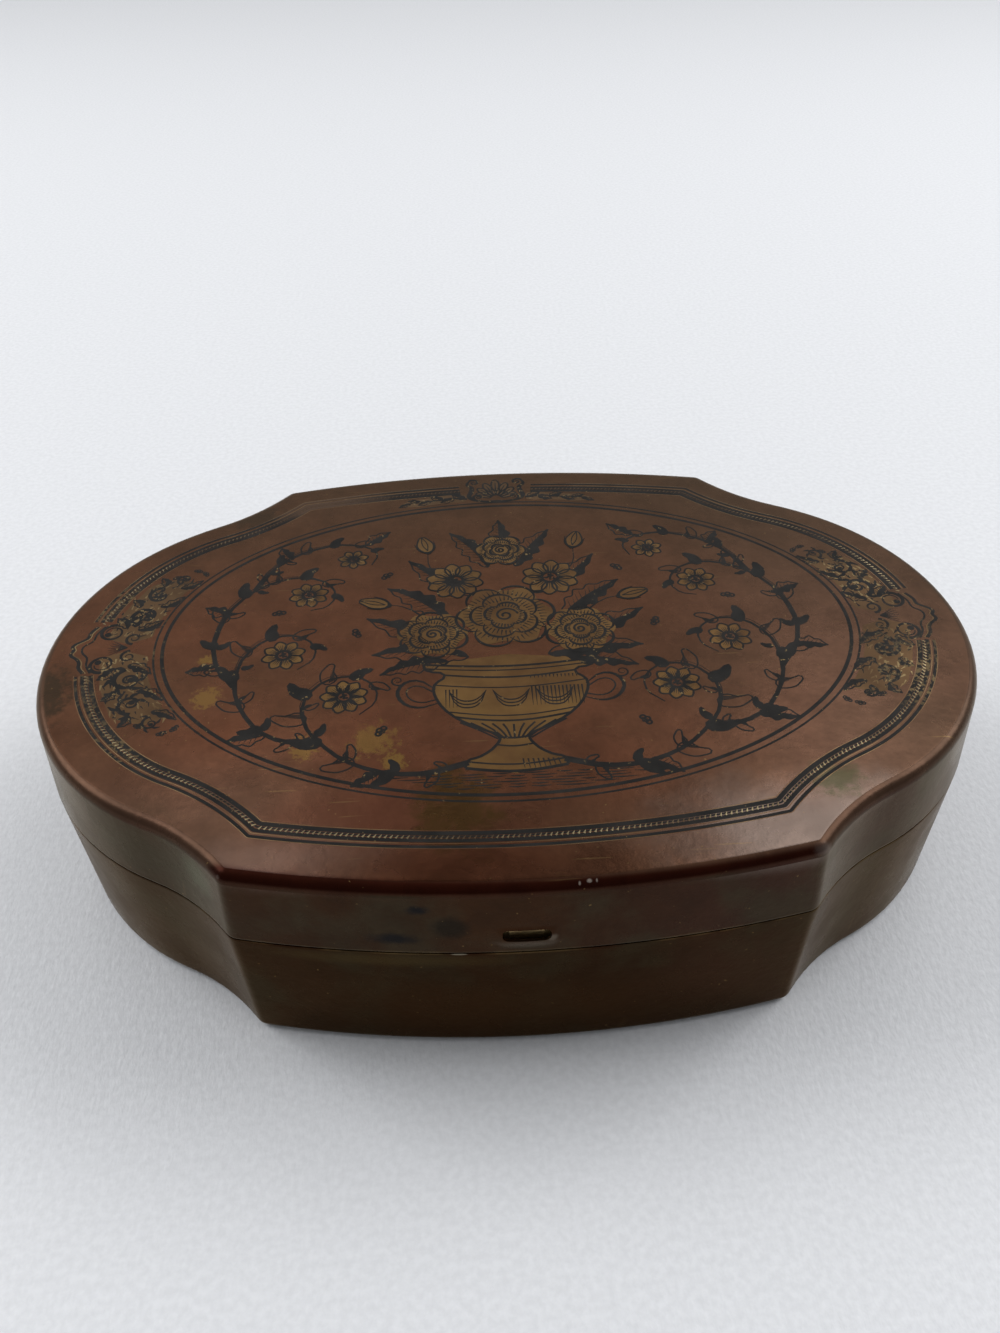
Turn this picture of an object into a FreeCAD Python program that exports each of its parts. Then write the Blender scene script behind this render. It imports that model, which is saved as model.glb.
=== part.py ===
import FreeCAD, Part
import math
import os

from FreeCAD import Vector

# Candy tin with a hinged lid: two drawn sheet pans on a waisted plan, an inner
# collar that locates the lid, a pressed catch at the front and a recessed hinge
# at the rear. Millimetres, X along the length, Y to the rear, Z up, with the
# origin on the underside at the centre of the plan.

# Overall sizes
LENGTH = 190.0
DEPTH = 130.0
HEIGHT = 46.0
SEAM_Z = 30.0
SEAM_GAP = 0.25
SHEET = 0.5

# Plan outline at the seam, where both pans are widest
LOBE_R = 52.0
LOBE_TURN = math.radians(63.5)
WAIST_R = 43.4
LONG_SIDE_R = 235.0
CORNER_R = 3.9

# The lid's skirt is upright with a rolled edge; the base leans in to a foot bent in two flats
LID_TILT = 0.0
LID_ROUND = 2.2
BASE_LEAN = 1.1
FOOT_ROUND = 2.2

# The floor is pressed up inside a ring that the tin stands on
RING_WIDTH = 5.0
FLOOR_RISE = 0.6
FLOOR_CORNER_R = 5.0

# Inner collar, stepped in below the seam to clear the lid
COLLAR_SHEET = 0.4
COLLAR_LOW = 26.5
COLLAR_STEP = 29.0
COLLAR_TOP = 37.0
COLLAR_GAP = 0.65

# Catch: a slot in the lid skirt, a pressed lip under it, a nub on the collar
SLOT_WIDTH = 8.2
SLOT_LOW = 33.4
SLOT_TOP = 35.7
SLOT_END_R = 0.9
LIP_WIDTH = 9.6
LIP_LOW = 30.9
LIP_SWELL = 0.55
LIP_SHARES = ((0.0, 0.5, 0.2), (0.5, 0.92, 0.75), (1.0, 1.0, 1.0))
NUB_WIDTH = 6.0
NUB_R = 1.6
NUB_HEIGHT = 0.25

# Hinge: five rolled knuckles let into a notch across the seam
HINGE_SETBACK = 1.15
KNUCKLES = 5
KNUCKLE_LENGTH = 9.4
KNUCKLE_GAP = 0.3
LEAF = 0.45
BARREL_R = 1.5
PIN_R = 1.0
NOTCH_RISE = 1.7
NOTCH_END = 0.4
LEAF_START = 2.8
LEAF_REACH = 9.0
NECK_BEND = 0.6

# Worked out from the sizes above
HALF_LENGTH = LENGTH / 2
HALF_DEPTH = DEPTH / 2
LID_HEIGHT = HEIGHT - SEAM_Z
BASE_TILT = math.atan(BASE_LEAN / SEAM_Z)
LOBE_CENTRE = Vector(HALF_LENGTH - LOBE_R, 0, 0)
WAIST_CENTRE = LOBE_CENTRE + Vector(math.cos(LOBE_TURN), math.sin(LOBE_TURN), 0) * (LOBE_R + WAIST_R)
LONG_CENTRE = Vector(0, HALF_DEPTH - LONG_SIDE_R, 0)
HINGE_Y = HALF_DEPTH - HINGE_SETBACK
HINGE_LENGTH = KNUCKLES * KNUCKLE_LENGTH + (KNUCKLES - 1) * KNUCKLE_GAP
NOTCH_LENGTH = HINGE_LENGTH + 2 * NOTCH_END
BORE_R = BARREL_R - LEAF

# Directions, and the reach of a cutting block past the tin
ORIGIN = Vector(0, 0, 0)
ALONG_X = Vector(1, 0, 0)
ALONG_Y = Vector(0, 1, 0)
ALONG_Z = Vector(0, 0, 1)
FAR = LENGTH


def circles_meet(centre_a, radius_a, centre_b, radius_b):
    """Meeting point of two circles, on the left when looking from the first centre to the second."""
    line = centre_b - centre_a
    span = line.Length
    along = (span ** 2 + radius_a ** 2 - radius_b ** 2) / (2 * span)
    aside = math.sqrt(radius_a ** 2 - along ** 2)
    unit = line / span
    return centre_a + unit * along + Vector(-unit.y, unit.x, 0) * aside


def turn_of(line):
    """Angle of a direction in the plan, from 0 to a full turn."""
    return math.atan2(line.y, line.x) % (2 * math.pi)


def quarter_arcs(inset=0.0, corner=CORNER_R):
    """Arcs of the outline where X and Y are positive, from the X axis round to the Y axis.

    Each is its centre, its radius, 1 if it bulges out or -1 if it is hollow, and its first and last angle.
    """
    waist = WAIST_R + inset
    long_side = LONG_SIDE_R - inset
    heart = circles_meet(LONG_CENTRE, long_side - corner, WAIST_CENTRE, waist + corner)
    waist_turn = turn_of(heart - WAIST_CENTRE)
    long_turn = turn_of(heart - LONG_CENTRE)
    return [
        (LOBE_CENTRE, LOBE_R - inset, 1, 0, LOBE_TURN),
        (WAIST_CENTRE, waist, -1, LOBE_TURN + math.pi, waist_turn),
        (heart, corner, 1, waist_turn - math.pi, long_turn),
        (LONG_CENTRE, long_side, 1, long_turn, math.pi / 2),
    ]


def around(centre, reach, turn, z):
    """Point at a distance and an angle from a centre in the plan."""
    return centre + Vector(reach * math.cos(turn), reach * math.sin(turn), z)


def plate(inset, corner, low, high):
    """Flat sheet with the tin's outline, set in from the outline at the seam."""
    edges = []
    for centre, radius, _, first, last in quarter_arcs(inset, corner):
        turns = (first, (first + last) / 2, last)
        edges.append(Part.Arc(*[around(centre, radius, turn, low) for turn in turns]).toShape())
    for normal in (ALONG_X, ALONG_Y):
        edges = edges + [edge.mirror(ORIGIN, normal) for edge in edges]
    outline = Part.Wire(Part.sortEdges(edges)[0])
    return Part.Face(outline).extrude(ALONG_Z * (high - low))


def revolved(section, arc, up=1):
    """Wall section carried round one arc of the plan.

    The section is a closed run of lines (two points) and arcs (three points), each point being
    its inset from the outline at the seam and its distance from the seam, above it if up is 1.
    """
    centre, radius, bulge, first, last = arc
    edges = []
    for step in section:
        points = [around(centre, radius - bulge * inset, first, SEAM_Z + up * away) for inset, away in step]
        curve = Part.Arc if len(points) == 3 else Part.LineSegment
        edges.append(curve(*points).toShape())
    return Part.Face(Part.Wire(edges)).revolve(centre, ALONG_Z, math.degrees(last - first))


def swept(section, up=1):
    """Wall section carried round the whole plan."""
    sectors = [revolved(section, arc, up) for arc in quarter_arcs()]
    ring = sectors[0].multiFuse(sectors[1:])
    for normal in (ALONG_X, ALONG_Y):
        ring = ring.fuse(ring.mirror(ORIGIN, normal))
    return ring


def polygon_section(points):
    """Closed run of lines through points of a wall section."""
    return list(zip(points, points[1:] + points[:1]))


def block(x_size, y_low, y_high, z_low, z_high):
    """Box centred on X."""
    corner = Vector(-x_size / 2, y_low, z_low)
    return Part.makeBox(x_size, y_high - y_low, z_high - z_low, corner)


def single(shape):
    """The one solid that a finished piece consists of, with needless seams removed."""
    solids = shape.removeSplitter().Solids
    if len(solids) != 1:
        raise ValueError("a piece came out as " + str(len(solids)) + " solids")
    return solids[0]


def wall_inset(tilt, away, depth=0.0):
    """Inset of a leaning wall at a distance from the seam, a given depth under its outer face."""
    return away * math.tan(tilt) + depth / math.cos(tilt)


def pan_wall(end, tilt, edge_round, rolled):
    """Section of a drawn pan's wall and edge, and the inset where its flat begins.

    The edge is a rolled round, or else two flats through the same points. Inside it is one flat.
    """
    near = SEAM_GAP / 2
    hub_away = end - edge_round
    hub_inset = wall_inset(tilt, hub_away + edge_round * math.sin(tilt)) + edge_round * math.cos(tilt)

    def on_round(radius, turn):
        return hub_inset - radius * math.cos(turn), hub_away + radius * math.sin(turn)

    turns = (tilt, (tilt + math.pi / 2) / 2, math.pi / 2)
    outer = [on_round(edge_round, turn) for turn in turns]
    inner = [on_round(edge_round - SHEET, turn) for turn in (math.pi / 2, tilt)]
    edge = [outer] if rolled else [outer[:2], outer[1:]]
    rim_outer = (wall_inset(tilt, near), near)
    rim_inner = (wall_inset(tilt, near, SHEET), near)
    rest = [outer[-1]] + inner + [rim_inner, rim_outer, outer[0]]
    return edge + list(zip(rest, rest[1:])), hub_inset


def hinge_notch():
    """Space for the hinge barrel, across the seam at the rear."""
    return block(NOTCH_LENGTH, HINGE_Y - HINGE_SETBACK, FAR, SEAM_Z - NOTCH_RISE, SEAM_Z + NOTCH_RISE)


def front_slot():
    """Catch slot through the lid skirt, with round ends."""
    slot = block(SLOT_WIDTH, -HALF_DEPTH - LIP_SWELL, -HALF_DEPTH + 2 * SHEET, SLOT_LOW, SLOT_TOP)
    ends = [e for e in slot.Edges if e.BoundBox.XLength < SHEET and e.BoundBox.ZLength < SHEET]
    return slot.makeFillet(SLOT_END_R, ends)


def swell_wire(z, width, swell):
    """Bow-shaped outline of the pressed lip at one height, reaching inside the wall."""
    face = -HALF_DEPTH + wall_inset(LID_TILT, z - SEAM_Z, SHEET)
    left = Vector(-width / 2, face, z)
    right = Vector(width / 2, face, z)
    bow = Part.Arc(left, Vector(0, face - swell, z), right).toShape()
    return Part.Wire([bow, Part.LineSegment(right, left).toShape()])


def lip_solid(depth):
    """Pressed lip below the slot, a given depth under its outer face, fuller towards the slot."""
    sections = []
    for rise_share, width_share, swell_share in LIP_SHARES:
        z = LIP_LOW + rise_share * (SLOT_LOW - LIP_LOW)
        width = (LIP_WIDTH - 2 * depth) * width_share
        sections.append(swell_wire(z, width, SHEET - depth + LIP_SWELL * swell_share))
    return Part.makeLoft(sections, True, True)


def make_lid_shell():
    """Drawn lid: flat top, rolled edge, skirt with the catch slot and the rear notch."""
    section, flat = pan_wall(LID_HEIGHT, LID_TILT, LID_ROUND, True)
    lid = swept(section).fuse(plate(flat, CORNER_R - flat, HEIGHT - SHEET, HEIGHT))
    lid = lid.fuse(lip_solid(0)).cut(lip_solid(SHEET))
    return single(lid.cut(front_slot()).cut(hinge_notch()))


def make_base_pan():
    """Drawn base: leaning walls, bent foot and a floor pressed up inside the standing ring."""
    section, flat = pan_wall(SEAM_Z, BASE_TILT, FOOT_ROUND, False)
    ring = flat + RING_WIDTH
    base = swept(section, -1).fuse(plate(flat, CORNER_R - flat, 0, SHEET))
    base = base.fuse(plate(ring - SHEET, FLOOR_CORNER_R + SHEET, SHEET, SHEET + FLOOR_RISE))
    base = base.cut(plate(ring, FLOOR_CORNER_R, 0, FLOOR_RISE))
    return single(base.cut(hinge_notch()))


def collar_section():
    """Section of the collar: seated on the base wall by its foot, a level step, and upright past the seam."""
    foot = SEAM_Z - COLLAR_LOW
    step = SEAM_Z - COLLAR_STEP
    ledge = step + COLLAR_SHEET
    rise = COLLAR_TOP - SEAM_Z
    seat = wall_inset(BASE_TILT, foot, SHEET)
    neck = SHEET + COLLAR_GAP
    return polygon_section([
        (seat, -foot),
        (seat, -step),
        (neck, -step),
        (neck, rise),
        (neck + COLLAR_SHEET, rise),
        (neck + COLLAR_SHEET, -ledge),
        (seat + COLLAR_SHEET, -ledge),
        (seat + COLLAR_SHEET, -foot),
    ])


def bar(y, z, width, radius):
    """Round bar along X."""
    return Part.makeCylinder(radius, width, Vector(-width / 2, y, z), ALONG_X)


def make_inner_collar():
    """Sheet band round the inside of the base, open at the hinge, with the catch nub pressed out in front."""
    nub_z = (SLOT_LOW + SLOT_TOP) / 2
    face = -HALF_DEPTH + SHEET + COLLAR_GAP
    axis_y = face - NUB_HEIGHT + NUB_R
    outside = block(NUB_WIDTH, -HALF_DEPTH, face + COLLAR_SHEET / 2, SEAM_Z, HEIGHT)
    nub = bar(axis_y, nub_z, NUB_WIDTH, NUB_R).common(outside)
    dent = bar(axis_y, nub_z, NUB_WIDTH - 2 * COLLAR_SHEET, NUB_R - COLLAR_SHEET)
    gap = block(NOTCH_LENGTH + 2 * BARREL_R, 0, FAR, 0, HEIGHT)
    return single(swept(collar_section()).fuse(nub).cut(dent).cut(gap))


def knuckle_left(index):
    """Left end of one knuckle along X."""
    return index * (KNUCKLE_LENGTH + KNUCKLE_GAP) - HINGE_LENGTH / 2


def straight_strip(index, z):
    """Section of a leaf across one knuckle where it runs down into the barrel."""
    left = knuckle_left(index)
    right = left + KNUCKLE_LENGTH
    outer = HINGE_Y - BORE_R
    inner = HINGE_Y - BARREL_R
    places = ((left, outer), (right, outer), (right, inner), (left, inner), (left, outer))
    return Part.makePolygon([Vector(x, y, z) for x, y in places])


def bedded_strip(index, tilt, up):
    """Section of a leaf across one knuckle where it meets the plate on the curved wall."""
    left = knuckle_left(index)
    stations = (left, left + KNUCKLE_LENGTH / 2, left + KNUCKLE_LENGTH)
    z = SEAM_Z + up * LEAF_START
    faces = []
    for depth in (SHEET, SHEET + LEAF):
        radius = LONG_SIDE_R - wall_inset(tilt, LEAF_START, depth)
        faces.append([Vector(x, LONG_CENTRE.y + math.sqrt(radius ** 2 - x ** 2), z) for x in stations])
    outer, inner = faces
    return Part.Wire([
        Part.Arc(*outer).toShape(),
        Part.LineSegment(outer[2], inner[2]).toShape(),
        Part.Arc(*inner[::-1]).toShape(),
        Part.LineSegment(inner[0], outer[0]).toShape(),
    ])


def leaf_plate(tilt, up):
    """Plate of a hinge leaf, bedded on the inside of the rear wall."""
    far = LEAF_START + LEAF_REACH
    section = polygon_section([
        (wall_inset(tilt, LEAF_START, SHEET), LEAF_START),
        (wall_inset(tilt, far, SHEET), far),
        (wall_inset(tilt, far, SHEET + LEAF), far),
        (wall_inset(tilt, LEAF_START, SHEET + LEAF), LEAF_START),
    ])
    reach = math.asin(NOTCH_LENGTH / 2 / LONG_SIDE_R)
    arc = (LONG_CENTRE, LONG_SIDE_R, 1, math.pi / 2 - reach, math.pi / 2 + reach)
    return revolved(section, arc, up).common(block(HINGE_LENGTH, 0, FAR, 0, HEIGHT))


def make_leaf(up, tilt, indices):
    """One hinge leaf: its plate, and for each knuckle a neck bent in at the seam and a rolled tube."""
    leaf = leaf_plate(tilt, up)
    for index in indices:
        sections = [
            straight_strip(index, SEAM_Z),
            straight_strip(index, SEAM_Z + up * NECK_BEND),
            bedded_strip(index, tilt, up),
        ]
        start = Vector(knuckle_left(index), HINGE_Y, SEAM_Z)
        tube = Part.makeCylinder(BARREL_R, KNUCKLE_LENGTH, start, ALONG_X)
        leaf = leaf.fuse(Part.makeLoft(sections, True, True)).fuse(tube)
    return single(leaf.cut(bar(HINGE_Y, SEAM_Z, FAR, BORE_R)))


def make_hinge_pin():
    """Wire pin through the knuckles."""
    return bar(HINGE_Y, SEAM_Z, HINGE_LENGTH, PIN_R)


def main():
    """Build every piece and write one file for each."""
    pieces = {
        "lid_shell": make_lid_shell(),
        "base_pan": make_base_pan(),
        "inner_collar": make_inner_collar(),
        "hinge_lid_leaf": make_leaf(1, LID_TILT, range(1, KNUCKLES, 2)),
        "hinge_base_leaf": make_leaf(-1, BASE_TILT, range(0, KNUCKLES, 2)),
        "hinge_pin": make_hinge_pin(),
    }
    os.makedirs("parts", exist_ok=True)
    for name, shape in pieces.items():
        shape.exportStep("parts/" + name + ".step")
        print(name, "valid" if shape.isValid() else "faulty", round(shape.Volume, 1), "mm3")


main()
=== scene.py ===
import logging
import math
import random
from dataclasses import dataclass
from enum import Enum

import bmesh
import bpy
from mathutils import Matrix, Vector


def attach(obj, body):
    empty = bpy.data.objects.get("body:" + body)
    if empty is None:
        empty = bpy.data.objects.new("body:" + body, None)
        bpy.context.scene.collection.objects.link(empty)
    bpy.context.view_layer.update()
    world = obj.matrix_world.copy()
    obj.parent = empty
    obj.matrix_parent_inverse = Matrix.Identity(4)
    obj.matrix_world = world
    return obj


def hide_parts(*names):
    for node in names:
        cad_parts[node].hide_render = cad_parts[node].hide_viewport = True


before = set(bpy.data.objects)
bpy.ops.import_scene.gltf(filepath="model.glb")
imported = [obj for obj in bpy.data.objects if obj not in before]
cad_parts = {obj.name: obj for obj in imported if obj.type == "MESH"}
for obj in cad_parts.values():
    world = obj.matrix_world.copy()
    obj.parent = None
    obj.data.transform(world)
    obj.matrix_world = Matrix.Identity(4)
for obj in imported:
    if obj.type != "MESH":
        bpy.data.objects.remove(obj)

Colour = tuple[float, float, float]
Place = tuple[float, float, float]
Pair = tuple[float, float]
Row = list[Vector]
Socket = bpy.types.NodeSocket

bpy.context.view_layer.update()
LOG = logging.getLogger("candy_tin")
MM = 0.001

# Sizes in mm that several pieces share
LID_TOP = 46.0
SEAM = 30.0
NOTCH_LOW: Place = (-24.5, 62.7, 28.3)
NOTCH_HIGH: Place = (24.5, 70.0, 31.7)
EDGE_IN = 0.05
EDGE_BACK = 0.03

# Steps along the outline, the gap that is closed between points, and the angle of a sharp edge
OUTLINE_STEP = 3.0
CATCH_STEP = 0.4
JOIN = 0.004
SHARP = math.radians(38)

# Strokes are made STACK apart in height and then laid on the lid, each in one of a few thin layers
STACK = 2.0
LAYER = 0.0003
LAYERS = 11
SUNK = -0.012
TOUCH = 1e-4


# Plan outline

def unit(turn: float) -> Vector:
    """Flat unit vector at an angle from the X axis."""
    return Vector((math.cos(turn), math.sin(turn)))


def across(way: Vector) -> Vector:
    """Flat unit vector a quarter turn left of a direction."""
    return Vector((-way.y, way.x)).normalized()


@dataclass(frozen=True)
class Arc:
    """One round stretch of the outline, walked anticlockwise round the tin, in mm."""

    centre: Vector
    radius: float
    first: float
    last: float
    fine: bool = False

    def point(self, share: float) -> Vector:
        """Point at a share of the way along the arc."""
        return self.centre + unit(self.first + (self.last - self.first) * share) * self.radius

    def length(self) -> float:
        """Length along the arc."""
        return abs(self.last - self.first) * self.radius

    def across_x(self) -> "Arc":
        """The arc mirrored left to right, walked the other way."""
        centre = Vector((-self.centre.x, self.centre.y))
        return Arc(centre, self.radius, math.pi - self.last, math.pi - self.first, self.fine)

    def across_y(self) -> "Arc":
        """The arc mirrored front to rear, walked the other way."""
        centre = Vector((self.centre.x, -self.centre.y))
        return Arc(centre, self.radius, -self.last, -self.first, self.fine)

    def parted(self, share: float) -> list["Arc"]:
        """The arc in two, the second part marked for fine steps.

        Args:
            share: where the second part starts.

        Returns:
            The plain part and the fine part.
        """
        turn = self.first + (self.last - self.first) * share
        return [Arc(self.centre, self.radius, self.first, turn),
                Arc(self.centre, self.radius, turn, self.last, True)]


@dataclass(frozen=True)
class Plan:
    """Waisted oval of tangent arcs: two lobes, two long sides, hollow waists and small corners, in mm."""

    half_length: float = 95.0
    half_depth: float = 65.0
    lobe_radius: float = 52.0
    lobe_turn: float = math.radians(63.5)
    waist_radius: float = 43.4
    long_radius: float = 235.0
    corner_radius: float = 3.9
    fine_share: float = 0.88

    def quarter(self, inset: float = 0.0, corner: float | None = None) -> list[Arc]:
        """Arcs from the +X axis to the +Y axis.

        Args:
            inset: distance inside the outer wall.
            corner: corner radius at this inset, or None to keep the wall's own corner centre.

        Returns:
            Lobe, waist, corner and half of the long side.
        """
        round_off = self.corner_radius - inset if corner is None else corner
        lobe = Vector((self.half_length - self.lobe_radius, 0.0))
        waist = lobe + unit(self.lobe_turn) * (self.lobe_radius + self.waist_radius)
        long_side = Vector((0.0, self.half_depth - self.long_radius))
        waist_radius = self.waist_radius + inset
        long_radius = self.long_radius - inset
        reach = waist - long_side
        near = long_radius - round_off
        far = waist_radius + round_off
        along = (near ** 2 - far ** 2 + reach.length_squared) / (2 * reach.length)
        aside = math.sqrt(near ** 2 - along ** 2)
        heart = long_side + reach.normalized() * along + across(reach) * aside
        to_waist = heart - waist
        to_long = heart - long_side
        waist_end = math.atan2(to_waist.y, to_waist.x) % (2 * math.pi)
        long_start = math.atan2(to_long.y, to_long.x)
        return [Arc(lobe, self.lobe_radius - inset, 0.0, self.lobe_turn),
                Arc(waist, waist_radius, self.lobe_turn + math.pi, waist_end),
                Arc(heart, round_off, waist_end - math.pi, long_start),
                Arc(long_side, long_radius, long_start, math.pi / 2)]

    def chain(self, inset: float = 0.0, corner: float | None = None) -> list[Arc]:
        """All the arcs in order, anticlockwise from the middle of the right lobe.

        Args:
            inset: distance inside the outer wall.
            corner: corner radius, or None for the wall's own.

        Returns:
            The arcs of the whole outline.
        """
        first = self.quarter(inset, corner)
        left = [arc.across_x() for arc in reversed(first)]
        front = first[:-1] + first[-1].parted(self.fine_share)
        front_left = [arc.across_x().across_y() for arc in front]
        front_right = [arc.across_y() for arc in reversed(front)]
        return first + left + front_left + front_right

    def walk(self, inset: float, corner: float, spacing: float) -> Row:
        """Points round a parallel line inside the wall.

        Args:
            inset: distance inside the outer wall.
            corner: radius of the line's corners.
            spacing: longest step between points.

        Returns:
            A closed row of points, the first one not repeated.
        """
        points = []
        for arc in self.chain(inset, corner):
            steps = max(3, math.ceil(arc.length() / spacing))
            points += [arc.point(step / steps) for step in range(steps)]
        return points


# Mesh helpers

def eased(value: float) -> float:
    """Smooth rise from 0 to 1 as a value goes from 0 to 1, level outside."""
    share = min(1.0, max(0.0, value))
    return share * share * (3 - 2 * share)


def new_piece(name: str, bm: bmesh.types.BMesh, finishes: list[bpy.types.Material]) -> bpy.types.Object:
    """Turn a mesh drawn in mm into an object at the origin.

    Args:
        name: name of the piece.
        bm: the finished mesh, freed here.
        finishes: materials in the order of the faces' material indices.

    Returns:
        The linked object, smooth with sharp edges kept.
    """
    bmesh.ops.recalc_face_normals(bm, faces=bm.faces)
    bmesh.ops.scale(bm, vec=(MM, MM, MM), verts=bm.verts)
    for face in bm.faces:
        face.smooth = True
    mesh = bpy.data.meshes.new(name)
    bm.to_mesh(mesh)
    bm.free()
    mesh.set_sharp_from_angle(angle=SHARP)
    for finish in finishes:
        mesh.materials.append(finish)
    piece = bpy.data.objects.new(name, mesh)
    bpy.context.scene.collection.objects.link(piece)
    LOG.info("%s: %d faces", name, len(mesh.polygons))
    return piece


def spin_section(bm: bmesh.types.BMesh, plan: Plan, section: list[Pair], finish: int,
                 closed: bool = False) -> None:
    """Carry a wall section round the whole plan, in fine steps past the catch.

    Args:
        bm: mesh to add to, in mm.
        plan: the outline to follow.
        section: (inset, height) points from one edge of the section to the other.
        finish: material index of the new faces.
        closed: whether the section's last point joins its first.
    """
    old = set(bm.faces)
    verts = [bm.verts.new((plan.half_length - inset, 0.0, height)) for inset, height in section]
    pairs = list(zip(verts, verts[1:])) + ([(verts[-1], verts[0])] if closed else [])
    moving = verts + [bm.edges.new(pair) for pair in pairs]
    for arc in plan.chain():
        steps = max(4, math.ceil(arc.length() / (CATCH_STEP if arc.fine else OUTLINE_STEP)))
        made = bmesh.ops.spin(bm, geom=moving, cent=arc.centre.to_3d(), axis=(0, 0, 1),
                              angle=arc.last - arc.first, steps=steps)
        moving = made["geom_last"]
    for face in set(bm.faces) - old:
        face.material_index = finish


def round_section(middle: Pair, radius: float, first: float, last: float, steps: int) -> list[Pair]:
    """Points of a round in a wall section, by angle from the outward direction.

    Args:
        middle: (inset, height) of the round's centre.
        radius: its radius.
        first: start angle in degrees, 0 outward and 90 up.
        last: end angle in degrees.
        steps: number of steps.

    Returns:
        (inset, height) points from the start to the end.
    """
    turns = [math.radians(first + (last - first) * step / steps) for step in range(steps + 1)]
    return [(middle[0] - radius * math.cos(turn), middle[1] + radius * math.sin(turn)) for turn in turns]


def close_flats(bm: bmesh.types.BMesh, between: float) -> None:
    """Fill the open loop above a height with the outer finish and the one below it with the inner finish.

    Args:
        bm: the shell in mm.
        between: height between the two loops.
    """
    rims = [edge for edge in bm.edges if edge.is_boundary]
    for finish, loop in ((0, [edge for edge in rims if edge.verts[0].co.z > between]),
                         (1, [edge for edge in rims if edge.verts[0].co.z < between])):
        for face in bmesh.ops.edgeloop_fill(bm, edges=loop)["faces"]:
            face.material_index = finish


def cutter(name: str, low: Place, high: Place, rounding: float = 0.0) -> bpy.types.Object:
    """A box to cut with, its edges that run front to rear rounded if asked.

    Args:
        name: name of the passing object.
        low: lowest corner in mm.
        high: highest corner in mm.
        rounding: radius on the edges that run front to rear.

    Returns:
        The linked cutting object.
    """
    bm = bmesh.new()
    bmesh.ops.create_cube(bm, size=1.0)
    size = [top - bottom for bottom, top in zip(low, high)]
    bmesh.ops.scale(bm, vec=size, verts=bm.verts)
    bmesh.ops.translate(bm, vec=[(bottom + top) / 2 for bottom, top in zip(low, high)], verts=bm.verts)
    if rounding:
        deep = [edge for edge in bm.edges if abs(edge.verts[0].co.y - edge.verts[1].co.y) > size[1] / 2]
        bmesh.ops.bevel(bm, geom=deep, offset=rounding, offset_type="OFFSET", segments=5, profile=0.5,
                        affect="EDGES", material=-1)
    return new_piece(name, bm, [])


def cut(piece: bpy.types.Object, tool: bpy.types.Object) -> None:
    """Cut one object out of another for good and remove the tool.

    Args:
        piece: the object that keeps its place.
        tool: the cutting object.
    """
    modifier = piece.modifiers.new("cut", "BOOLEAN")
    modifier.operation = "DIFFERENCE"
    modifier.solver = "EXACT"
    modifier.object = tool
    mesh = bpy.data.meshes.new_from_object(piece.evaluated_get(bpy.context.evaluated_depsgraph_get()))
    piece.modifiers.clear()
    old = piece.data
    mesh.name = old.name
    piece.data = mesh
    bpy.data.meshes.remove(old)
    bpy.data.objects.remove(tool)
    mesh.set_sharp_from_angle(angle=SHARP)


# Finishes

@dataclass(frozen=True)
class Spot:
    """A stain, a worn place, or a patch of painted light or shade: middle and half sizes in mm, and an edge
    that can be soft and ragged.
    """

    middle: Place
    size: Place
    colour: Colour
    strength: float = 0.7
    soft: float = 0.5
    ragged: float = 3.2


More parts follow.
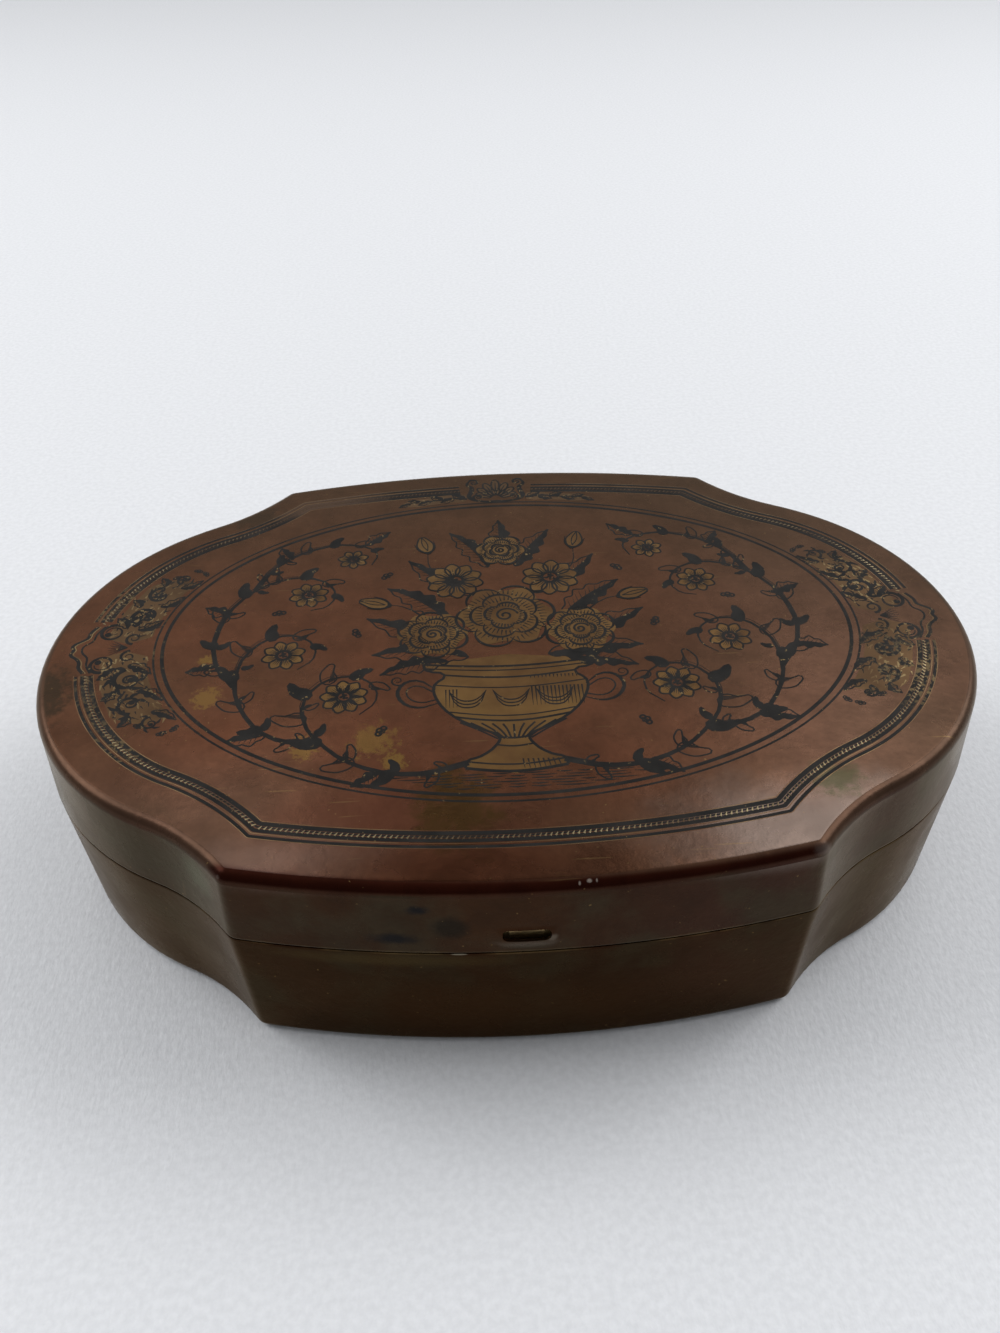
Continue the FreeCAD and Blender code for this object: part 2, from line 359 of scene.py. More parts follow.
class Board:
    """Lays out the nodes of one material on the piece's own coordinates in mm."""

    # Sockets of a mix node that hold colours
    FIRST_COLOUR = 6
    SECOND_COLOUR = 7
    MIXED_COLOUR = 2

    def __init__(self, name: str) -> None:
        """Start a material with its shader and its place in mm.

        Args:
            name: name of the material.
        """
        self.material = bpy.data.materials.new(name)
        self.material.use_nodes = True
        self.tree = self.material.node_tree
        self.shader = self.tree.nodes["Principled BSDF"]
        coordinates = self.tree.nodes.new("ShaderNodeTexCoord")
        scaled = self.node("ShaderNodeVectorMath", "SCALE")
        self.plug(scaled.inputs["Vector"], coordinates.outputs["Object"])
        self.plug(scaled.inputs["Scale"], 1 / MM)
        self.place = scaled.outputs["Vector"]
        parts = self.node("ShaderNodeSeparateXYZ")
        self.plug(parts.inputs[0], self.place)
        self.x, self.y, self.z = parts.outputs

    def node(self, kind: str, operation: str = "") -> bpy.types.Node:
        """Add a node, with its operation if it has one.

        Args:
            kind: type of the node.
            operation: its operation, or nothing.

        Returns:
            The node.
        """
        made = self.tree.nodes.new(kind)
        if operation:
            made.operation = operation
        return made

    def plug(self, socket: Socket, value: object) -> None:
        """Link a socket to another, or set its value.

        Args:
            socket: the input.
            value: an output to link, or a constant.
        """
        if isinstance(value, Socket):
            self.tree.links.new(value, socket)
        elif isinstance(value, tuple) and len(value) == 3 and socket.type == "RGBA":
            socket.default_value = (*value, 1.0)
        else:
            socket.default_value = value

    def maths(self, operation: str, first: object, second: object = 0.0) -> Socket:
        """Result of a sum on two values.

        Args:
            operation: name of the sum.
            first: first value.
            second: second value.

        Returns:
            The result.
        """
        made = self.node("ShaderNodeMath", operation)
        self.plug(made.inputs[0], first)
        self.plug(made.inputs[1], second)
        return made.outputs[0]

    def ease(self, value: object, low: float, high: float, start: float = 0.0,
             end: float = 1.0) -> Socket:
        """Smooth change from start to end as a value goes from low to high.

        Args:
            value: the value.
            low: where the change starts.
            high: where it ends.
            start: result up to the low end.
            end: result from the high end on.

        Returns:
            The result.
        """
        made = self.node("ShaderNodeMapRange")
        made.interpolation_type = "SMOOTHSTEP"
        for index, item in enumerate((value, low, high, start, end)):
            self.plug(made.inputs[index], item)
        return made.outputs[0]

    def noise(self, feature: float, detail: float, stretch: Place = (1.0, 1.0, 1.0),
              rough: float = 0.55) -> Socket:
        """Noise between 0 and 1 with features of a given size.

        Args:
            feature: size of the largest features in mm.
            detail: number of finer layers.
            stretch: factors on the features' size along X, Y and Z.
            rough: strength of the finer layers.

        Returns:
            The noise value.
        """
        made = self.node("ShaderNodeTexNoise")
        squeezed = self.node("ShaderNodeVectorMath", "MULTIPLY")
        self.plug(squeezed.inputs[0], self.place)
        self.plug(squeezed.inputs[1], tuple(1 / (feature * part) for part in stretch))
        self.plug(made.inputs["Vector"], squeezed.outputs[0])
        self.plug(made.inputs["Scale"], 1.0)
        self.plug(made.inputs["Detail"], detail)
        self.plug(made.inputs["Roughness"], rough)
        return made.outputs[0]

    def blend(self, share: object, first: object, second: object) -> Socket:
        """Colour between two colours.

        Args:
            share: share of the second colour.
            first: first colour.
            second: second colour.

        Returns:
            The colour.
        """
        made = self.node("ShaderNodeMix")
        made.data_type = "RGBA"
        self.plug(made.inputs["Factor"], share)
        self.plug(made.inputs[self.FIRST_COLOUR], first)
        self.plug(made.inputs[self.SECOND_COLOUR], second)
        return made.outputs[self.MIXED_COLOUR]

    def scale_colour(self, colour: object, amount: object) -> Socket:
        """Colour made lighter or darker by a factor.

        Args:
            colour: the colour.
            amount: the factor.

        Returns:
            The new colour.
        """
        made = self.node("ShaderNodeVectorMath", "SCALE")
        self.plug(made.inputs["Vector"], colour)
        self.plug(made.inputs["Scale"], amount)
        return made.outputs[0]

    def spot(self, spot: Spot) -> Socket:
        """Share of a spot at each place, ragged at the edge.

        Args:
            spot: the spot.

        Returns:
            Its strength inside, 0 outside.
        """
        away = self.node("ShaderNodeVectorMath", "SUBTRACT")
        self.plug(away.inputs[0], self.place)
        self.plug(away.inputs[1], spot.middle)
        shaped = self.node("ShaderNodeVectorMath", "DIVIDE")
        self.plug(shaped.inputs[0], away.outputs[0])
        self.plug(shaped.inputs[1], spot.size)
        length = self.node("ShaderNodeVectorMath", "LENGTH")
        self.plug(length.inputs[0], shaped.outputs[0])
        frayed = self.noise(spot.size[0] * 0.55, 7.0, rough=0.70)
        wander = self.maths("MULTIPLY", self.maths("SUBTRACT", frayed, 0.5), spot.ragged)
        edge = self.maths("ADD", length.outputs["Value"], wander)
        return self.ease(edge, 1.0 - spot.soft, 1.0 + spot.soft, spot.strength, 0.0)

    def reach(self, x: float, y: float) -> Socket:
        """Flat distance from an upright line at a place of the plan.

        Args:
            x: the line's place along the length in mm.
            y: its place in depth in mm.

        Returns:
            The distance in mm.
        """
        over = self.maths("SUBTRACT", self.x, x)
        along = self.maths("SUBTRACT", self.y, y)
        square = self.maths("ADD", self.maths("MULTIPLY", over, over), self.maths("MULTIPLY", along, along))
        return self.maths("SQRT", square)

    def bump(self, height: object, depth: float, strength: float) -> None:
        """Put a small unevenness on the surface.

        Args:
            height: shape of the unevenness.
            depth: its depth in mm.
            strength: how much of it tells.
        """
        made = self.node("ShaderNodeBump")
        self.plug(made.inputs["Height"], height)
        self.plug(made.inputs["Distance"], depth * MM)
        self.plug(made.inputs["Strength"], strength)
        self.plug(self.shader.inputs["Normal"], made.outputs[0])

    def surface(self, colour: object, metallic: object, rough: object, coat: float = 0.0,
                coat_rough: float = 0.22) -> None:
        """Set the shader's colour, metal share, roughness and clear coat.

        Args:
            colour: base colour.
            metallic: share of metal.
            rough: roughness.
            coat: weight of the clear coat.
            coat_rough: roughness of the clear coat.
        """
        self.plug(self.shader.inputs["Base Color"], colour)
        self.plug(self.shader.inputs["Metallic"], metallic)
        self.plug(self.shader.inputs["Roughness"], rough)
        self.plug(self.shader.inputs["Coat Weight"], coat)
        self.plug(self.shader.inputs["Coat Roughness"], coat_rough)


@dataclass(frozen=True)
class CopperFinish:
    """Copper-coloured lacquer on sheet, with painted sheen on the face, walls darker partly as painted
    shade, a painted dark band on the front roll, and stains, specks and fine scratches.

    A span is a pair of places in mm, or distances, between which one tone turns into another.
    """

    name: str
    top: Colour = (0.128, 0.048, 0.0245)
    mauve_sheen: Colour = (0.106, 0.054, 0.034)
    olive: Colour = (0.050, 0.031, 0.0175)
    # Walls darker than the face: partly the walls' duller lacquer, partly painted shade
    wall: Colour = (0.036, 0.013, 0.004)
    tarnish: Colour = (0.029, 0.021, 0.011)
    plum: Colour = (0.038, 0.012, 0.009)
    # Dark red of the rolled edge along the front: painted shade, a dark reflection painted into the colour
    roll: Colour = (0.042, 0.008, 0.004)
    worn: Colour = (0.22, 0.14, 0.055)
    tint: Colour = (0.96, 0.89, 0.77)
    metallic: float = 0.88
    level: float = 0.2
    coat: float = 0.04
    wall_dark: float = 0.78
    rear_span: Pair = (-20.0, 70.0)
    end_span: Pair = (58.0, 94.0)
    right_span: Pair = (12.0, 66.0)
    waist_span: Pair = (24.0, 54.0)
    front_span: Pair = (-46.0, -24.0)
    plum_span: Pair = (-6.0, 50.0)
    edge_span: Pair = (44.1, 45.0)
    scratch_span: Pair = (40.0, 45.0)
    seam_span: Pair = (0.15, 0.75)
    shaded_roll_hub: Pair = (3.0, 170.0)
    shaded_roll_rim: Pair = (231.7, 233.0)
    spots: tuple[Spot, ...] = ()

    def face(self, board: Board, drift: Socket) -> Socket:
        """Tone of the lid's face: copper, with mauve painted sheen at the right and the front waists, and
        olive in slow clouds and, as painted grazing sheen, to the rear and the ends.

        Args:
            board: the material's nodes.
            drift: slow clouds over the whole tin.

        Returns:
            The colour.
        """
        aside = board.maths("ABSOLUTE", board.x)
        clouds = board.maths("MULTIPLY", drift, 0.5)
        # Olive toward the rear and the ends is painted grazing sheen; the olive in slow clouds is the
        # lacquer's own tone
        rear = board.maths("MULTIPLY", board.ease(board.y, *self.rear_span), 0.72)
        ends = board.maths("MULTIPLY", board.ease(aside, *self.end_span), 0.25)
        cool = board.maths("MAXIMUM", clouds, board.maths("MAXIMUM", rear, ends))
        # Mauve at the right and on the front waists: painted sheen
        right = board.ease(board.x, *self.right_span, 0.0, 0.9)
        waists = board.maths("MULTIPLY", board.ease(aside, *self.waist_span),
                             board.ease(board.y, *self.front_span, 0.85, 0.0))
        warm = board.blend(board.maths("MAXIMUM", right, waists), self.top, self.mauve_sheen)
        return board.blend(cool, warm, self.olive)

    def sides(self, board: Board, drift: Socket) -> Socket:
        """Tone of the walls, darker than the face partly as painted shade: darker in clouds, plum at the
        right, tarnished in blotches.

        Args:
            board: the material's nodes.
            drift: slow clouds over the whole tin.

        Returns:
            The colour.
        """
        clouded = board.blend(drift, self.wall, tuple(part * self.wall_dark for part in self.wall))
        tinged = board.blend(board.ease(board.x, *self.plum_span, 0.0, 0.6), clouded, self.plum)
        blotches = board.ease(board.noise(14.0, 5.0), 0.42, 0.64, 0.0, 0.75)
        return board.blend(blotches, tinged, self.tarnish)

    def rubbed(self, board: Board, colour: Socket) -> Socket:
        """The lacquer worn through along the seam, in fine scratches and in specks.

        Args:
            board: the material's nodes.
            colour: the lacquer as it was.

        Returns:
            The colour with its wear.
        """
        from_seam = board.maths("ABSOLUTE", board.maths("SUBTRACT", board.z, SEAM))
        rim = board.maths("MULTIPLY", board.ease(from_seam, *self.seam_span, 0.30, 0.0),
                          board.ease(board.noise(9.0, 4.0), 0.42, 0.66))
        scratch = board.maths("MULTIPLY", board.ease(board.noise(0.55, 1.0, (22.0, 1.0, 22.0)), 0.70, 0.76),
                              board.ease(board.noise(24.0, 2.0), 0.50, 0.64))
        scratch = board.maths("MULTIPLY", scratch, board.ease(board.z, *self.scratch_span, 0.12, 0.4))
        speck = board.maths("MULTIPLY", board.ease(board.noise(0.9, 1.0), 0.755, 0.80), 0.5)
        marks = board.maths("MAXIMUM", scratch, speck)
        return board.blend(marks, board.blend(rim, colour, self.worn), self.worn)

    def make(self) -> bpy.types.Material:
        """Build the material.

        Returns:
            The material.
        """
        board = Board(self.name)
        drift = board.ease(board.noise(46.0, 2.0), 0.34, 0.68)
        above = board.ease(board.z, *self.edge_span)
        colour = board.blend(above, self.sides(board, drift), self.face(board, drift))
        # Along the front the rolled edge takes the roll colour: painted shade for the dark reflection there
        front = board.ease(board.reach(*self.shaded_roll_hub), *self.shaded_roll_rim)
        colour = board.blend(board.maths("MULTIPLY", above, front), colour, self.roll)
        mottle = board.ease(board.noise(7.0, 4.0), 0.25, 0.75, 0.84, 1.16)
        grain = board.ease(board.noise(1.1, 2.0), 0.2, 0.8, 0.93, 1.07)
        colour = board.scale_colour(colour, board.maths("MULTIPLY", mottle, grain))
        for spot in self.spots:
            colour = board.blend(board.spot(spot), colour, spot.colour)
        rough = board.ease(board.noise(11.0, 4.0), 0.25, 0.75, 0.22, 0.34)
        board.surface(self.rubbed(board, colour), self.metallic, rough, self.coat)
        board.plug(board.shader.inputs["Specular IOR Level"], self.level)
        board.plug(board.shader.inputs["Specular Tint"], self.tint)
        dents = board.maths("MULTIPLY", board.noise(17.0, 1.0), 3.0)
        board.bump(board.maths("ADD", dents, board.noise(1.6, 2.0)), 0.06, 0.55)
        return board.material


@dataclass(frozen=True)
class BrassFinish:
    """Plain brass, dulled in clouds, with painted shade at one height or a dull rear if asked."""

    name: str
    bright: Colour
    dull: Colour
    rough: float = 0.36
    seam_shade_height: float | None = None
    dull_span: Pair | None = None
    seam_shade: Colour = (0.012, 0.009, 0.006)
    metallic: float = 0.92

    def make(self) -> bpy.types.Material:
        """Build the material.

        Returns:
            The material.
        """
        board = Board(self.name)
        cloud = board.ease(board.noise(13.0, 4.0), 0.32, 0.70)
        if self.dull_span is not None:
            cloud = board.maths("MAXIMUM", cloud, board.ease(board.y, *self.dull_span))
        colour = board.blend(cloud, self.bright, self.dull)
        grain = board.ease(board.noise(0.8, 3.0, (9.0, 9.0, 1.0)), 0.2, 0.8, 0.88, 1.12)
        colour = board.scale_colour(colour, grain)
        # Darker at this height, where the band shows through the seam gap: painted shade
        if self.seam_shade_height is not None:
            away = board.maths("ABSOLUTE", board.maths("SUBTRACT", board.z, self.seam_shade_height))
            colour = board.blend(board.ease(away, 0.3, 1.1, 0.92, 0.0), colour, self.seam_shade)
        board.surface(colour, self.metallic, board.ease(cloud, 0.0, 1.0, self.rough, self.rough + 0.16))
        board.bump(board.noise(3.0, 3.0), 0.03, 0.35)
        return board.material


@dataclass(frozen=True)
class InkFinish:
    """Dark print, rubbed through to brass in flecks and at worn places, and gone at lost places."""

    name: str
    dark: Colour = (0.010, 0.009, 0.008)
    rubbed: Colour = (0.22, 0.15, 0.066)
    fleck: float = 0.70
    fleck_size: float = 0.9
    metallic: float = 0.85
    level: float = 0.12
    worn: tuple[Spot, ...] = ()
    lost: tuple[Spot, ...] = ()

    def make(self) -> bpy.types.Material:
        """Build the material.

        Returns:
            The material.
        """
        board = Board(self.name)
        shade = board.ease(board.noise(5.0, 3.0), 0.25, 0.75, 0.7, 1.7)
        colour = board.scale_colour(self.dark, shade)
        bare = board.ease(board.noise(self.fleck_size, 3.0), self.fleck, self.fleck + 0.05)
        for spot in self.worn:
            patch = board.maths("MULTIPLY", board.spot(spot), board.ease(board.noise(0.8, 3.0), 0.48, 0.60))
            bare = board.maths("MAXIMUM", bare, patch)
        colour = board.blend(bare, colour, self.rubbed)
        for spot in self.lost:
            gone = board.spot(spot)
            colour = board.blend(gone, colour, spot.colour)
            bare = board.maths("MAXIMUM", bare, gone)
        rough = board.ease(bare, 0.0, 1.0, 0.55, 0.36)
        board.surface(colour, board.maths("MULTIPLY", bare, self.metallic), rough)
        board.plug(board.shader.inputs["Specular IOR Level"], self.level)
        return board.material


@dataclass(frozen=True)
class TableFinish:
    """Pale table top with a fine pressed grain."""

    name: str = "table"
    colour: Colour = (0.745, 0.755, 0.78)
    rough: float = 0.55

    def make(self) -> bpy.types.Material:
        """Build the material.

        Returns:
            The material.
        """
        board = Board(self.name)
        tone = board.ease(board.noise(1.4, 2.0), 0.2, 0.8, 0.95, 1.05)
        board.surface(board.scale_colour(self.colour, tone), 0.0, self.rough)
        board.bump(board.noise(1.5, 2.0, (0.7, 1.4, 1.0)), 0.25, 0.45)
        return board.material


class Finishes:
    """All the materials of the tin."""

    BRASSY: Colour = (0.20, 0.115, 0.030)
    BARE_AND_GLINT: Colour = (0.42, 0.36, 0.31)
    DROP: Colour = (0.002, 0.003, 0.006)

    def __init__(self) -> None:
        """Make every material once."""
        self.lid = CopperFinish("lid_lacquer", spots=self.lid_spots()).make()
        # The base's walls, tarnish and plum are darker than the lid's: painted shade
        self.base = CopperFinish("base_lacquer", wall=(0.026, 0.009, 0.003), tarnish=(0.022, 0.016, 0.008),
                                 plum=(0.027, 0.009, 0.006), level=0.1, coat=0.0, tint=(0.81, 0.71, 0.60),
                                 spots=self.base_spots()).make()
        # The rolled edge: a darker, less metallic copy of the lid's lacquer as painted shade, with its roll
        # colour painted shade along the front
        self.edge = CopperFinish("shaded_edge_lacquer", top=(0.070, 0.030, 0.017), mauve_sheen=(0.062, 0.032, 0.021),
                                 olive=(0.054, 0.032, 0.019), wall=(0.046, 0.018, 0.009),
                                 roll=(0.024, 0.0045, 0.002), metallic=0.55, level=0.08, coat=0.0,
                                 spots=self.edge_spots()).make()
        self.inside = BrassFinish("dulled_brass", (0.47, 0.33, 0.15), (0.30, 0.20, 0.10)).make()
        # The band is darkened where it shows through the seam gap: painted shade
        self.collar = BrassFinish("band_brass", (0.55, 0.40, 0.19), (0.36, 0.25, 0.12), 0.30, 29.8).make()
        self.hinge = BrassFinish("leaf_brass", (0.36, 0.24, 0.11), (0.20, 0.13, 0.065), 0.40).make()
        self.pin = BrassFinish("wire_steel", (0.36, 0.35, 0.33), (0.22, 0.21, 0.20), 0.34).make()
        left_end = Spot((-82.0, 4.0, LID_TOP), (9.0, 16.0, 5.0), self.BRASSY, 0.50, 0.6)
        left_front = Spot((-72.0, -24.0, LID_TOP), (9.0, 8.0, 5.0), self.BRASSY, 0.40, 0.6)
        right_front = Spot((80.0, -16.0, LID_TOP), (9.0, 10.0, 5.0), self.BRASSY, 0.55, 0.6)
        rear_left = Spot((-43.0, 53.0, LID_TOP), (13.0, 7.0, 5.0), (0.096, 0.055, 0.033), 0.9, 0.5, 1.6)
        self.ink = InkFinish("border_ink", worn=(left_end, left_front, right_front),
                             lost=(rear_left,)).make()
        self.scroll_ink = InkFinish("scroll_ink", fleck=0.64, fleck_size=0.8, worn=(right_front,)).make()
        self.shade = BrassFinish("scroll_shade", (0.118, 0.066, 0.029), (0.078, 0.043, 0.020), 0.32).make()
        self.picture_ink = InkFinish("picture_ink", fleck=0.66, fleck_size=1.2).make()
        self.gilt = BrassFinish("rubbed_gilt", (0.180, 0.100, 0.034), (0.100, 0.050, 0.019), 0.36).make()
        self.rope = BrassFinish("rope_gilt", (0.34, 0.27, 0.15), (0.078, 0.048, 0.027), 0.32,
                                dull_span=(22.0, 46.0)).make()
        self.scroll_gilt = BrassFinish("scroll_gilt", (0.25, 0.18, 0.085), (0.100, 0.056, 0.025),
                                       0.34).make()
        self.glint = BrassFinish("edge_glint", (0.20, 0.13, 0.065), (0.095, 0.042, 0.020), 0.34).make()

    def lid_spots(self) -> tuple[Spot, ...]:
        """Stains, worn places and painted sheen, shade and highlights of the lid's face and skirt.

        Returns:
            The spots, a later one over an earlier one.
        """
        return (
            # Darker copper in front on the left
            Spot((-25.0, -47.0, LID_TOP), (13.0, 6.0, 3.0), (0.098, 0.034, 0.019), 0.6, 0.8, 1.2),
            # Brassy rubs left of the middle
            Spot((-58.7, -15.0, LID_TOP), (2.4, 2.6, 3.0), self.BRASSY, 0.6, 0.3, 4.5),
            Spot((-60.5, -4.0, LID_TOP), (1.4, 1.3, 3.0), self.BRASSY, 0.7, 0.3, 4.0),
            Spot((-38.7, -30.0, LID_TOP), (2.2, 2.8, 3.0), self.BRASSY, 0.6, 0.3, 4.5),
            Spot((-26.0, -29.0, LID_TOP), (3.4, 3.6, 3.0), self.BRASSY, 0.6, 0.3, 4.5),
            Spot((-22.0, -34.5, LID_TOP), (1.8, 2.0, 3.0), self.BRASSY, 0.75, 0.3, 4.0),
            # Olive stains in front, at the left end and at the rear left waist
            Spot((-11.0, -46.0, LID_TOP), (6.5, 9.0, 4.0), (0.060, 0.034, 0.008), 0.75, 0.5),
            Spot((-90.0, -13.0, LID_TOP), (4.0, 7.0, 5.0), (0.022, 0.019, 0.012), 0.7),
            Spot((-57.5, 47.5, LID_TOP), (6.0, 4.0, 5.0), (0.026, 0.020, 0.013), 0.6),
            # Dark drops on the front skirt, left of the catch
            Spot((-12.7, -65.0, 36.6), (3.0, 3.0, 2.6), (0.008, 0.005, 0.003), 0.85, 0.45, 0.7),
            Spot((-18.0, -65.0, 41.0), (1.9, 3.0, 1.0), self.DROP, 0.9, 0.5, 1.0),
            Spot((-22.4, -65.0, 33.7), (4.0, 3.0, 1.3), self.DROP, 0.9, 0.5, 1.0),
            # Green bloom and tarnish on the left front waist
            Spot((-54.6, -52.4, 39.6), (3.2, 3.6, 3.4), (0.085, 0.110, 0.072), 0.6, 0.7, 1.4),
            Spot((-66.0, -46.0, 37.6), (12.0, 9.0, 6.5), (0.026, 0.023, 0.011), 0.6, 0.7, 1.6),
            # Painted highlight on the pressed lip of the catch slot, brighter at its right end
            Spot((0.0, -65.8, 32.5), (4.6, 2.0, 0.75), (0.120, 0.090, 0.070), 0.55, 0.6, 0.6),
            Spot((4.3, -65.6, 33.7), (0.8, 2.0, 0.7), (0.17, 0.14, 0.11), 0.5, 0.6, 0.4),
            # Front margin: painted sheen, grey at the left and pale at the right, and painted shade, dark
            # red in the middle
            Spot((-41.0, -56.5, LID_TOP), (15.0, 5.0, 2.5), (0.150, 0.102, 0.084), 0.35, 0.8, 1.4),
            Spot((-9.0, -59.2, LID_TOP), (22.0, 3.6, 3.0), (0.078, 0.025, 0.011), 0.6, 0.8, 1.2),
            Spot((52.0, -55.0, LID_TOP), (24.0, 10.0, 3.0), (0.155, 0.120, 0.102), 0.75, 0.7, 1.2),
            # Green stain at the right front waist
            Spot((55.6, -43.0, LID_TOP), (4.2, 3.4, 4.0), (0.046, 0.047, 0.021), 0.7, 0.5, 3.0),
        )

    def base_spots(self) -> tuple[Spot, ...]:
        """Stains, worn places, a painted glint and painted shade of the base's walls and foot.

        Returns:
            The spots, a later one over an earlier one.
        """
        return (
            # Below the seam in front: an olive smear, and a painted glint on the rim where the seam gap
            # opens
            Spot((-30.0, -65.0, 27.6), (26.0, 4.0, 1.6), (0.055, 0.036, 0.013), 0.6, 0.6, 0.8),
            Spot((-11.5, -65.0, 29.7), (1.3, 2.0, 0.18), (0.26, 0.23, 0.17), 0.6, 0.3, 0.6),
            # Warm brown low in the middle and dull red at the right
            Spot((2.0, -65.0, 11.0), (34.0, 5.0, 8.0), (0.046, 0.016, 0.004), 0.6, 0.8, 1.6),
            Spot((36.0, -62.0, 17.0), (12.0, 6.0, 8.0), (0.034, 0.011, 0.007), 0.6, 0.8, 1.6),
            # Greyer patches on the front waists
            Spot((-60.0, -44.0, 20.0), (9.0, 7.0, 12.0), (0.060, 0.052, 0.036), 0.4, 0.8, 0.9),
            Spot((62.0, -44.0, 18.0), (9.0, 7.0, 12.0), (0.056, 0.049, 0.034), 0.35, 0.8, 0.9),
            # Painted shade on the underside and the foot
            Spot((0.0, 0.0, 0.0), (90.0, 60.0, 2.6), (0.016, 0.009, 0.006), 0.7, 0.3, 0.6),
        )

    def edge_spots(self) -> tuple[Spot, ...]:
        """Pale places of the rolled edge, both front corners and three specks right of the catch: partly
        worn to bare metal, partly painted highlight.

        Returns:
            The spots, a later one over an earlier one.
        """
        return (
            Spot((-51.0, -58.3, 45.3), (0.7, 0.5, 0.6), self.BARE_AND_GLINT, 0.65, 0.7, 0.6),
            Spot((50.6, -58.2, 44.9), (2.0, 0.9, 1.0), self.BARE_AND_GLINT, 0.22, 0.8, 0.8),
            Spot((8.6, -63.2, 45.5), (0.18, 0.4, 0.24), self.BARE_AND_GLINT, 0.55, 0.5, 0.8),
            Spot((10.2, -63.0, 45.7), (0.40, 0.4, 0.22), self.BARE_AND_GLINT, 0.6, 0.5, 0.8),
            Spot((11.4, -63.0, 45.7), (0.16, 0.4, 0.22), self.BARE_AND_GLINT, 0.5, 0.5, 0.8),
        )


# Shells

@dataclass
class LidShell:
    """Drawn lid: flat top, rolled edge, leaning skirt, catch slot with a pressed lip, hinge notch."""

    plan: Plan
    rim: float = 30.125
    sheet: float = 0.5
    roll: float = 2.2
    lean: float = 1.0
    soft: float = 0.16
    flat_margin: float = 0.4
    flat_within: float = 0.01
    upright_from: float = 40.0
    upright_over: float = 18.0
    upper_rings: tuple[float, ...] = (41.6, 39.4, 37.4)
    catch_ring: float = 36.6
    catch_rings: int = 16
    front_face: float = -60.0
    slot_low: Place = (-4.1, -70.0, 33.4)
    slot_high: Place = (4.1, -62.9, 35.7)
    slot_round: float = 0.9
    lip_half: float = 5.0
    lip_swell: float = 0.55
    lip_low: float = 30.7
    lip_rise: float = 2.5
    lip_high: float = 36.2
    lip_fall: float = 1.6

    def inset(self, height: float) -> float:
        """Inset of the leaning skirt at a height."""
        return self.lean * (height - SEAM) / (LID_TOP - SEAM)

    def upright(self, y: float) -> float:
        """How far the lean is undone at a depth: not in front, wholly at the hinge."""
        return eased((y - self.upright_from) / self.upright_over)

    def levels(self) -> list[float]:
        """Heights of the skirt's rings, close together round the catch."""
        close = [self.catch_ring - CATCH_STEP * step for step in range(self.catch_rings)]
        return [*self.upper_rings, *close]

    def lip(self, x: float, z: float) -> float:
        """How far the catch lip swells out at a place on the front skirt.

        Args:
            x: place along the length.
            z: height.

        Returns:
            The swell in mm.
        """
        side = max(0.0, 1.0 - (x / self.lip_half) ** 2)
        fall = min(1.0, max(0.0, (self.lip_high - z) / self.lip_fall))
        return self.lip_swell * math.sqrt(side) * eased((z - self.lip_low) / self.lip_rise) * fall

    def build(self, finishes: Finishes) -> None:
        """Make the lid and let it ride on the lid body.

        Args:
            finishes: the tin's materials.
        """
        hub = (self.roll + self.inset(LID_TOP - self.roll), LID_TOP - self.roll)
        skirt = self.levels()
        middle = self.sheet / 2
        support = hub[0] + self.flat_margin
        outside = [(support, LID_TOP)] + round_section(hub, self.roll, 90, 0, 12)
        outside += [(self.inset(level), level) for level in skirt]
        outside += [(0.0, self.rim + self.soft), (EDGE_IN, self.rim + EDGE_BACK), (middle, self.rim)]
        inside = [(middle, self.rim), (self.sheet - EDGE_IN, self.rim + EDGE_BACK),
                  (self.sheet, self.rim + self.soft)]
        inside += [(self.inset(level) + self.sheet, level) for level in reversed(skirt)]
        inside += round_section(hub, self.roll - self.sheet, 0, 90, 6) + [(support, LID_TOP - self.sheet)]
        bm = bmesh.new()
        spin_section(bm, self.plan, outside, 0)
        # The rolled edge takes the darker edge finish: painted shade
        for face in bm.faces:
            if LID_TOP - self.roll < face.calc_center_median().z < LID_TOP - self.flat_within:
                face.material_index = 2
        spin_section(bm, self.plan, inside, 1)
        bmesh.ops.remove_doubles(bm, verts=bm.verts, dist=JOIN)
        close_flats(bm, LID_TOP - middle)
        for vert in bm.verts:
            vert.co.y += self.inset(min(vert.co.z, hub[1])) * self.upright(vert.co.y)
            if vert.co.y < self.front_face and abs(vert.co.x) < self.lip_half:
                vert.co.y -= self.lip(vert.co.x, vert.co.z)
        lid = new_piece("lid_visual", bm, [finishes.lid, finishes.inside, finishes.edge])
        cut(lid, cutter("slot_tool", self.slot_low, self.slot_high, self.slot_round))
        cut(lid, cutter("notch_tool", NOTCH_LOW, NOTCH_HIGH))
        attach(lid, "lid")
        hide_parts("lid_shell")


